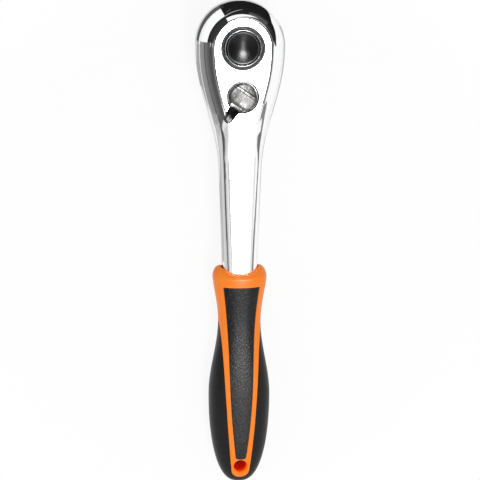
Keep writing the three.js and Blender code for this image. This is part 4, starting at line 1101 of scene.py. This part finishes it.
def grip_size(y):
    """Half width and half thickness of the handle at a place along it."""
    if y > WAIST_AT:
        swell = ease(((COLLAR_AT - y) / (COLLAR_AT - WAIST_AT)) ** 0.78) if y < COLLAR_AT else 0.0
        return tuple(mix(a, b, swell) for a, b in zip(COLLAR_SIZE, WAIST_SIZE))
    if y > BELLY_AT:
        swell = ease((WAIST_AT - y) / (WAIST_AT - BELLY_AT))
        return tuple(mix(a, b, swell) for a, b in zip(WAIST_SIZE, BELLY_SIZE))
    along = min(1, (BELLY_AT - y) / (BELLY_AT - HANDLE_END))
    across = (1 - along**2.15) ** (1 / 2.6)
    return tuple(size * across for size in BELLY_SIZE)


def grip_point(y, angle, size=None, scoop=0.0):
    """A point of the handle's skin; the angle runs from +X round by +Z."""
    half_width, half_thickness = size or grip_size(y)
    c, s = math.cos(angle), math.sin(angle)
    x = math.copysign(abs(c) ** (2 / SQUARENESS), c) * half_width
    z = math.copysign(abs(s) ** (2 / SQUARENESS), s) * half_thickness
    return (x, y - scoop * s * s, MID_PLANE + z)


def grip_row(y, start, end, spans):
    """Points of the handle's skin from one angle to another."""
    return [grip_point(y, mix(start, end, i / spans)) for i in range(spans + 1)]


def angle_at(x, y):
    """The skin angle at which the handle reaches a width, on the front right."""
    half_width = grip_size(y)[0]
    return math.acos(min(1, max(0, x / half_width)) ** (SQUARENESS / 2)) if half_width > 0.01 else 0.0


def along_curve(points):
    """A function of y that reads a width off a curve of width and y."""

    def width(y):
        if y >= points[0][1]:
            return points[0][0]
        for (w0, y0), (w1, y1) in zip(points, points[1:]):
            if y1 <= y <= y0:
                return mix(w0, w1, (y0 - y) / (y0 - y1)) if y0 > y1 else w1
        return points[-1][0]

    return width


frame_width = along_curve(
    bezier((12.5, FRAME_TOP), (8.2, -146.0), (9.6, -172.0), (4.6, TONGUE_SIDE), 160)
    + bezier((4.6, TONGUE_SIDE), (4.3, -221.7), (2.3, TONGUE_END), (0.0, TONGUE_END - 0.001), 60)[1:]
)
panel_width = along_curve(
    bezier((9.3, PANEL_TOP), (4.4, -158.0), (8.0, -170.0), (2.7, PANEL_SIDE), 160)
    + bezier((2.7, PANEL_SIDE), (2.5, PANEL_END + 0.3), (1.9, PANEL_END), (0.0, PANEL_END - 0.001), 60)[1:]
)


def mirrored(rows, side, front=1):
    """The same rows of points on another side of the handle."""
    return [[(x * side, y, MID_PLANE + (z - MID_PLANE) * front) for x, y, z in row] for row in rows]


def thicken(piece, thickness, sizes):
    """Gives a skin its wall, inwards, and softens its edges."""
    apply_modifier(piece, "SOLIDIFY", thickness=thickness * MM, offset=-1, use_rim=True)
    return soften(piece, sizes.soft_edge, angle=50)


class RATCHET_OT_core(bpy.types.Operator):
    """Lays the orange core's collar, stripes and tongue over the handle's form"""

    bl_idname = "ratchet.core"
    bl_label = "Orange core"

    def execute(self, context):
        sizes, head = measured("ratchet_handle"), measured("ratchet_head")
        patches = {"collar": self.collar(sizes, head), "stripe": self.stripe()}
        quarters = []
        for front in (1, -1):
            for side in (1, -1):
                for name, rows in patches.items():
                    quarters.append(skin(f"{name}_{len(quarters)}", mirrored(rows, side, front)))
        core = thicken(weld(gather("orange_core", *quarters)), sizes.rubber + 0.2, sizes)
        bed = skin("core_bed", self.bed_rings(sizes), close=True)
        combine(bed, skin("tang_socket", self.socket_rings(head), close=True))
        for part in (core, bed):
            combine(part, self.hang_hole(sizes.hole_radius))
        gather("orange_core", core, bed)
        dress(core, finish("moulded_orange"), "frame", "handle_core", angle=40)
        bore = sizes.hole_radius + 0.1

        def walled(x, y, z, normal):
            return math.hypot(x, y - HOLE_AT) < bore and abs(normal.z) < 0.3

        # the hanging hole's wall takes the orange with painted shade and a painted glow
        face_finish(core, finish("moulded_orange_bore"), walled)
        return {"FINISHED"}

    def collar(self, sizes, head):
        """One quarter of the collar: up its bore, over the scooped mouth and down to the panel."""
        join = angle_at(panel_width(PANEL_TOP), PANEL_TOP)
        angles = spread(0, join, STRIPE_SPANS) + spread(join, math.pi / 2, FRONT_SPANS)[1:]
        mouth = (head.shank_width / 2 + 0.7, 7.7)
        scoop, brim = sizes.scoop, MOUTH_EDGE - sizes.brim
        rows = []
        for i in range(MOUTH_STEPS + 1):
            y, dip = mix(-126, brim - 0.6, i / MOUTH_STEPS), scoop * i / MOUTH_STEPS
            rows.append([grip_point(y, a, mouth, dip) for a in angles])
        for i in range(COLLAR_STEPS):
            t = math.pi / 2 * (1 - i / COLLAR_STEPS)
            size = tuple(mix(m + 0.25, c, math.cos(t)) for m, c in zip(mouth, COLLAR_SIZE))
            y, dip = mix(COLLAR_AT, brim, math.sin(t)), scoop * math.sin(t)
            rows.append([grip_point(y, a, size, dip) for a in angles])
        return rows + [[grip_point(y, a) for a in angles] for y in spread(COLLAR_AT, PANEL_TOP, 8)]

    def stripe(self):
        """One quarter of the stripe beside the panel, with the tongue below it."""
        places = spread(PANEL_TOP, PANEL_TURN, 96) + spread(PANEL_TURN, PANEL_END, 14, 2)[1:]
        places += spread(PANEL_END, TONGUE_SIDE, 8)[1:] + spread(TONGUE_SIDE, TONGUE_END, 18, 2.2)[1:]
        rows = []
        for y in places:
            outer = angle_at(frame_width(y), y) if y < FRAME_TOP else 0.0
            inner = angle_at(panel_width(y), y) if y > PANEL_END + 1e-6 else math.pi / 2
            rows.append(grip_row(y, outer, inner, STRIPE_SPANS))
        return rows

    def hang_hole(self, radius):
        """A bore through the tongue with softened rims."""
        low, rim, wide = MID_PLANE - 30, MID_PLANE - grip_size(HOLE_AT)[1], radius + 0.7
        hole = [(0, low), (wide, low), (wide, rim - 0.1), (radius + 0.25, rim + 0.25), (radius, rim + 0.9)]
        hole += [(r, 2 * MID_PLANE - z) for r, z in reversed(hole)]
        return turned("hang_hole", hole, 64, (0, HOLE_AT))

    def bed_rings(self, sizes):
        """The solid core under the rubber."""
        inset = sizes.rubber + 0.05
        rings = []
        for y in spread(COLLAR_AT - 2, HANDLE_END + inset + 0.4, 60, 1.6):
            size = tuple(max(0.4, value - inset) for value in grip_size(y))
            rings.append([grip_point(y, 2 * math.pi * i / BED_SPANS, size) for i in range(BED_SPANS + 1)])
        return rings

    def socket_rings(self, head):
        """Room for the shank's end and the tang."""
        rings = [shank_ring(y, head, TANG_GAP) for y in (-110.0, SHANK_SEAT - TANG_GAP)]
        return rings + [tang_ring(y, TANG_GAP) for y in (SHANK_SEAT - 0.35, TANG_END - TANG_GAP)]


class RATCHET_OT_grips(bpy.types.Operator):
    """Lays the rubber side grip and the front and rear panels between the stripes"""

    bl_idname = "ratchet.grips"
    bl_label = "Rubber grips"

    def execute(self, context):
        sizes = measured("ratchet_handle")
        grip = thicken(self.side_grip(sizes.seam), sizes.rubber, sizes)
        dress(grip, finish("side_grip_rubber"), "frame", "side_grip", angle=40)
        front = thicken(self.panel(sizes.seam), sizes.rubber, sizes)
        rear = copied(front, "rear_inset")
        rear.data.transform(Matrix.Translation((0, 0, 2 * MID_PLANE * MM)) @ Matrix.Diagonal((1, 1, -1, 1)))
        weld(rear)
        for face, panel in (("front", front), ("rear", rear)):
            dress(panel, finish("panel_grip_rubber"), "frame", f"{face}_grip_panel", angle=40)
        return {"FINISHED"}

    def panel(self, seam):
        """The skin of the front inset."""
        rows = []
        for y in spread(PANEL_TOP - seam, PANEL_TURN, 90) + spread(PANEL_TURN, PANEL_END + seam, 14, 2)[1:]:
            edge = angle_at(max(0.0, panel_width(y - seam * 0.6) - seam), y)
            rows.append(grip_row(y, edge, math.pi - edge, PANEL_SPANS))
        return skin("front_inset", rows)

    def side_grip(self, seam):
        """The skin of the rubber on both sides, joined round the butt."""
        trials = spread(FRAME_TOP, WAIST_AT - 20, 4000)
        start = next(y for y in trials if frame_width(y) + seam < grip_size(y)[0])
        stops = spread(start, start - 3, 12, 0.6) + spread(start - 3, TONGUE_SIDE, 90)[1:]
        stops += spread(TONGUE_SIDE, TONGUE_END - seam, 18, 2.2)[1:]
        stops += spread(TONGUE_END - seam, HANDLE_END, 16, 2.4)[1:]
        rows = []
        for y in stops:
            width = frame_width(y) + seam if y > TONGUE_END - seam else 0.0
            edge = angle_at(width, y) if y < start else 0.0
            rows.append(grip_row(y, edge, -edge, SIDE_SPANS))
        halves = [skin(f"grip_half_{i}", mirrored(rows, side)) for i, side in enumerate((1, -1))]
        return weld(gather("side_rubber", *halves))


# Springs

COIL_STEPS, WIRE_SIDES = 28, 10


def coil(name, radius, wire, height, turns, place):
    """An open coil of round wire; place sets a point of the upright coil in the frame."""
    steps = round(turns * COIL_STEPS)
    pitch = math.atan((height - wire) / (2 * math.pi * turns * radius))
    rows = []
    for i in range(steps + 1):
        angle = 2 * math.pi * turns * i / steps
        c, s = math.cos(angle), math.sin(angle)
        level = wire / 2 + (height - wire) * i / steps
        row = []
        for out, up in arc((0, 0), wire / 2, 0, 360, WIRE_SIDES):
            away, aside = radius + out, up * math.sin(pitch)
            row.append(place(away * c + aside * s, away * s - aside * c, level + up * math.cos(pitch)))
        rows.append(row)
    return skin(name, rows, close=True)


class RATCHET_OT_springs(bpy.types.Operator):
    """Winds the springs of the button and the plunger"""

    bl_idname = "ratchet.springs"
    bl_label = "Springs"

    def execute(self, context):
        floor, height, travel = 26.25, 11, 3
        spring = coil("button_coil", 4.6, 0.9, height, 6, lambda x, y, z: (x, y, floor + z))
        dress(spring, finish("drawn_steel"), "drive", "button_spring", angle=60)
        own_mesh(spring)
        seat, height, travel = -2.45, 5.7, 1.2
        c, s = math.cos(math.radians(LEVER_ANGLE)), math.sin(math.radians(LEVER_ANGLE))

        def across(x, y, z):
            out = seat + z
            return (LEVER_AXIS[0] + x * c + out * s, LEVER_AXIS[1] - x * s + out * c, PLUNGER_LEVEL + y)

        spring = coil("plunger_coil", 0.7, 0.4, height, 5.5, across)
        dress(spring, finish("drawn_steel"), "lever", "plunger_spring", angle=60)
        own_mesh(spring)
        return {"FINISHED"}


# Hidden parts, which keep their CAD solids

INNER_FINISHES = {
    "phosphated_steel": ("pawl",),
    "drawn_steel": ("release_pin", "lever_clip", "pawl_plunger", "pawl_pivot_pin"),
    "ring_rubber": ("hub_o_ring", "lever_o_ring"),
}


class RATCHET_OT_inner_parts(bpy.types.Operator):
    """Gives the mechanism inside the head its finishes"""

    bl_idname = "ratchet.inner_parts"
    bl_label = "Inner parts"

    def execute(self, context):
        for material, names in INNER_FINISHES.items():
            for name in names:
                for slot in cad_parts[name].material_slots:
                    slot.material = finish(material)
        return {"FINISHED"}


# Stage: floor, flags, sky, lamps and camera

FLOOR_RADIUS, FLOOR_MIDDLE, FLOOR_DEPTH, FLOOR_RINGS = 170, -102, 3, 12
FLOOR_EDGE, FLOOR_GAP = 6.35, 0.05
FLAG_RADIUS, FLAG_LEVEL, FLAG_SPANS = 220, 35, 24
WHITE = (1, 1, 1, 1)


def lift(*elevations, radius=FLAG_RADIUS):
    """Card profile points at these elevations, in degrees, round the head."""
    angles = [math.radians(elevation) for elevation in elevations]
    return [(radius * math.cos(a), FLAG_LEVEL + radius * math.sin(a)) for a in angles]


def upright(low, high, radius=100):
    """The profile of an upright card."""
    return [(radius, low), (radius, high)]


def level(height, *radii):
    """The profile of a level card."""
    return [(radius, height) for radius in radii]


def seen_white(tree, shader, white, shares):
    """Shows camera, glossy and transmission rays these shares of white, and other rays the shader."""
    rays = node(tree, "LightPath")
    total = 0
    for ray, share in zip(("Camera", "Glossy", "Transmission"), shares):
        feeds = {0: rays[f"Is {ray} Ray"], 1: share, 2: total}
        total = node(tree, "Math", feeds, operation="MULTIPLY_ADD")[0]
    return node(tree, "MixShader", {"Fac": total, 1: shader, 2: white})[0]


def flag(name, start, end, tones, first, last=None, centre=(0, 0)):
    """A curved studio card that only reflections see.

    It runs from one azimuth to another and from one profile of (radius, height) to another. Its tone
    goes from low to high over the first profile's height."""
    rows = []
    for (radius0, height0), (radius1, height1) in zip(first, last or first):
        row = []
        for i in range(FLAG_SPANS + 1):
            t = i / FLAG_SPANS
            angle, radius = math.radians(mix(start, end, t)), mix(radius0, radius1, t)
            x, y = centre[0] + radius * math.cos(angle), centre[1] + radius * math.sin(angle)
            row.append((x, y, mix(height0, height1, t)))
        rows.append(row)
    card = skin(name, rows)
    material, tree = new_material(name)
    grade = ranged(tree, axis_of(tree, "Z"), first[0][1] * MM, first[-1][1] * MM, *tones)
    glow = node(tree, "Emission", {"Strength": grade})[0]
    feed(tree, tree.nodes["Material Output"].inputs["Surface"], glow)
    card.data.materials.append(material)
    for ray in ("camera", "diffuse", "transmission", "volume_scatter", "shadow"):
        setattr(card, f"visible_{ray}", False)
    card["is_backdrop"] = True


class RATCHET_OT_stage(bpy.types.Operator):
    """Sets the pale floor, the studio flags, the soft light and the camera"""

    bl_idname = "ratchet.stage"
    bl_label = "Stage"

    def execute(self, context):
        scene = context.scene
        studio = scene.ratchet_studio
        scene.view_settings.view_transform = "Standard"
        self.floor()
        self.flags()
        self.sky(scene, studio)
        self.lamps()
        self.camera(scene, studio)
        return {"FINISHED"}

    def floor(self):
        """A pale disc that touches the square's rear edge and the belly of the handle.

        It looks as white as the sky, apart from the spot that shows through the hanging hole, where a dark
        red shadow is painted and the floor keeps its true shading."""
        rise = (MID_PLANE - BELLY_SIZE[1]) / (-BELLY_AT - FLOOR_EDGE)
        rings = [(FLOOR_RADIUS * i / FLOOR_RINGS, 0) for i in range(FLOOR_RINGS + 1)]
        floor = turned("floor", [*rings, (FLOOR_RADIUS, -FLOOR_DEPTH), (0, -FLOOR_DEPTH)], 96)

        def sloped(x, y, z):
            return (x, y + FLOOR_MIDDLE, z + rise * (-FLOOR_EDGE - y - FLOOR_MIDDLE) - FLOOR_GAP)

        moved(floor, sloped)
        material, tree = new_material("pale_floor")
        surface = tree.nodes["Principled BSDF"]
        feed(tree, surface.inputs["Roughness"], 0.9)
        feed(tree, surface.inputs["Specular IOR Level"], 0.1)
        # painted shadow: a dark red spot on the floor where it shows through the hanging hole
        spot = {"centre": (1.07, HOLE_AT - 3.3, 18.8), "turn": math.radians(22), "sides": (1.95, 0.7)}
        painted_shadow_mask = oval(tree, **spot, edge=(0.95, 1.12), values=(0, 1))
        tone = blended(tree, painted_shadow_mask, (0.24, 0.03, 0.015, 1), (0.9, 0.9, 0.9, 1))
        feed(tree, surface.inputs["Base Color"], tone)
        disc = {"centre": (0, FLOOR_MIDDLE, 0), "turn": 0, "sides": (FLOOR_RADIUS, FLOOR_RADIUS)}
        clear = product(tree, painted_shadow_mask, oval(tree, **disc, edge=(0.72, 0.97), values=(0.9, 1)))
        pale = seen_white(tree, surface.outputs[0], node(tree, "Emission")[0], (clear, 0.3, 0.9))
        feed(tree, tree.nodes["Material Output"].inputs["Surface"], pale)
        floor.data.materials.append(material)
        floor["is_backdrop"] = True

    def flags(self):
        """Dark and grey cards that draw the edges of the plated steel, and two bright ones overhead."""
        neck, left, right = (0, -70), (40, -100), (-40, -100)
        apron, wedge = [*level(1, 25, 70, 150), *lift(2, 20, 37)], lift(26, 27, 28, 30, 34, 37)
        head_wall = [(70, 5), (150, 12), *lift(5, 22, 40)]
        shank_wall = [(80, 8), (150, 14), *lift(5, 22, 39)]
        head_sill = level(5, 24.5, 40, 60)
        fading = [(1000, 806), (1130, 790), (1330, 740)]

        def band(high):
            return upright(6, high, 101)

        def glint(low, high):
            return lift(low, high, radius=212)

        for card in (
            ("nose_flag", 50, 118, (0.012, 0.02), apron),
            ("nose_wedge", -6, 50, (0.012, 0.06), wedge, apron),
            ("nose_arch", 25, 155, (0.04, 0.06), lift(52, 60, 68)),
            ("window_lintel", 118, 178, (0.015, 0.05), lift(24, 42, 60)),
            ("window_sill", 112, 182, (0.1, 0.1), level(1, 24.5, 35, 50)),
            ("left_sill", 182, 232, (0.38, 0.38), head_sill),
            ("left_head_wall", 178, 222, (0.3, 0.06), head_wall),
            ("left_neck_wall", 222, 232, (0.5, 0.9), head_wall),
            ("left_shank_band", 222, 163, (0.72, 0.58), band(57), band(48), left),
            ("left_turn_band", 163, 157, (0.58, 0.46), band(48), band(47), left),
            ("left_neck_band", 157, 151, (0.44, 0.34), band(47), band(47), left),
            ("left_shank_sill", 194, 152, (0.5, 0.5), level(13, 52, 76, 101), None, left),
            ("left_shank_line", 222, 190, (0.08, 0.3), upright(57, 98), None, left),
            ("left_turn_line", 190, 164, (0.08, 0.3), upright(57, 98), upright(47, 58), left),
            ("left_neck_line", 164, 152, (0.08, 0.12), upright(47, 58), upright(47, 56), left),
            ("left_shank_haze", 222, 170, (0.62, 1), upright(98, 200), upright(74, 200), left),
            ("right_shank_line", -42, -10, (0.18, 0.3), upright(60, 98), None, right),
            ("right_turn_line", -10, 16, (0.18, 0.3), upright(60, 98), upright(42, 56), right),
            ("right_neck_line", 16, 40, (0.18, 0.25), upright(42, 56), upright(55, 66), right),
            ("left_line", 178, 246, (0.02, 0.02), lift(8.6, 11.6, radius=205)),
            ("nose_glimmer", 84, 117, (0.1, 0.4), glint(12, 14), glint(22, 27)),
            ("nose_streak", 96, 112, (0.25, 0.1), glint(-8, -5), glint(4, 9)),
            ("nose_haze", 34, 72, (0.02, 0.12), glint(18, 34), glint(22, 35)),
            ("left_brow", 140, 196, (0.06, 0.4), lift(40, 51, 62), None, neck),
            ("right_brow", -10, 48, (0.25, 0.1), lift(31, 46, 62), None, neck),
            ("left_shank_wall", 190, 230, (0.95, 0.6), shank_wall, None, neck),
            ("right_sill", -62, 20, (0.5, 0.5), head_sill),
            ("right_shank_sill", -58, 40, (0.55, 0.55), level(9, 11, 22, 36), None, neck),
            ("ceiling", 0, 360, (0.07, 0.07), level(860, 1, 300, 600), None, (0, 165)),
            ("left_fade", 173.7, 186.3, (0.95, 0.12), fading, None, (1017, -340)),
            ("right_fade", -8, 8, (1, 0.7), fading, None, (-843, -315)),
            ("tail_glow", 260, 280, (5, 5), level(780, 440, 600, 760), None, (85, 0)),
            ("button_glow", 0, 360, (50, 50), level(780, 1, 70, 140), None, (85, 165)),
        ):
            flag(*card)

    def sky(self, scene, studio):
        """A soft sky that the camera and reflections see as plain white."""
        world = bpy.data.worlds.new("soft_sky")
        world.use_nodes = True
        scene.world = world
        tree = world.node_tree
        soft = tree.nodes["Background"]
        feed(tree, soft.inputs["Color"], WHITE)
        feed(tree, soft.inputs["Strength"], studio.sky)
        white = node(tree, "Background", {"Color": WHITE})[0]
        seen = seen_white(tree, soft.outputs[0], white, (1, 1, 1))
        feed(tree, tree.nodes["World Output"].inputs["Surface"], seen)

    def lamps(self):
        """A long soft box overhead and a weak one at the left."""
        for name, place, aim, sides, power in (
            ("top_box", (0.087, -0.22, 0.8), (0.087, -0.22, 0), (0.14, 0.44), 2.9),
            ("left_box", (-0.5, -0.15, 0.35), (0, -0.15, 0.03), (0.3, 0.5), 0.35),
        ):
            alone()
            bpy.ops.object.light_add(type="AREA", location=place)
            lamp = bpy.context.active_object
            lamp.name = name
            lamp.data.shape = "RECTANGLE"
            lamp.data.size, lamp.data.size_y = sides
            lamp.data.energy = power
            lamp.visible_camera = False
            lamp.rotation_euler = (Vector(aim) - Vector(place)).to_track_quat("-Z", "Y").to_euler()

    def camera(self, scene, studio):
        """A long lens over the shank that leans to the left and towards the nose."""
        aim = Vector((0.0002, -0.0994, 0.0285))
        back = Vector((-math.tan(studio.lean), math.tan(studio.tilt), 1)).normalized()
        up = Vector((0, 1, 0)) - back * back.y
        up.normalize()
        right = up.cross(back)
        c, s = math.cos(studio.roll), math.sin(studio.roll)
        right, up = c * right + s * up, c * up - s * right
        turn = Matrix((right, up, back)).transposed()
        data = bpy.data.cameras.new("camera")
        data.lens = studio.lens
        data.sensor_width = 36
        data.clip_start, data.clip_end = 0.05, 20
        camera = bpy.data.objects.new("camera", data)
        scene.collection.objects.link(camera)
        camera.matrix_world = Matrix.Translation(aim + back * studio.distance) @ turn.to_4x4()
        scene.camera = camera


# Registration

OPERATORS = (
    RATCHET_OT_forging,
    RATCHET_OT_cover,
    RATCHET_OT_drive,
    RATCHET_OT_button,
    RATCHET_OT_lever,
    RATCHET_OT_core,
    RATCHET_OT_grips,
    RATCHET_OT_springs,
    RATCHET_OT_inner_parts,
    RATCHET_OT_stage,
)


class RATCHET_PT_sidebar(bpy.types.Panel):
    """Lists the steps that dress the ratchet"""

    bl_idname = "RATCHET_PT_sidebar"
    bl_label = "Socket ratchet"
    bl_space_type = "VIEW_3D"
    bl_region_type = "UI"
    bl_category = "Ratchet"

    def draw(self, context):
        for operator in OPERATORS:
            self.layout.operator(operator.bl_idname)
        for name, group in GROUP_NAMES.items():
            for setting in group.__annotations__:
                self.layout.prop(getattr(context.scene, name), setting)


CLASSES = (*GROUP_NAMES.values(), *OPERATORS, RATCHET_PT_sidebar)


def register():
    for item in CLASSES:
        bpy.utils.register_class(item)
    for name, group in GROUP_NAMES.items():
        setattr(bpy.types.Scene, name, bpy.props.PointerProperty(type=group))


def unregister():
    for name in GROUP_NAMES:
        delattr(bpy.types.Scene, name)
    for item in reversed(CLASSES):
        bpy.utils.unregister_class(item)


def main():
    register()
    for operator in OPERATORS:
        group, name = operator.bl_idname.split(".")
        getattr(getattr(bpy.ops, group), name)()
    alone()
    boxes = {"cad": CAD_BOX, "visual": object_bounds()}
    {name: [list(corner) for corner in box] for name, box in boxes.items()}


if __name__ == "__main__":
    main()
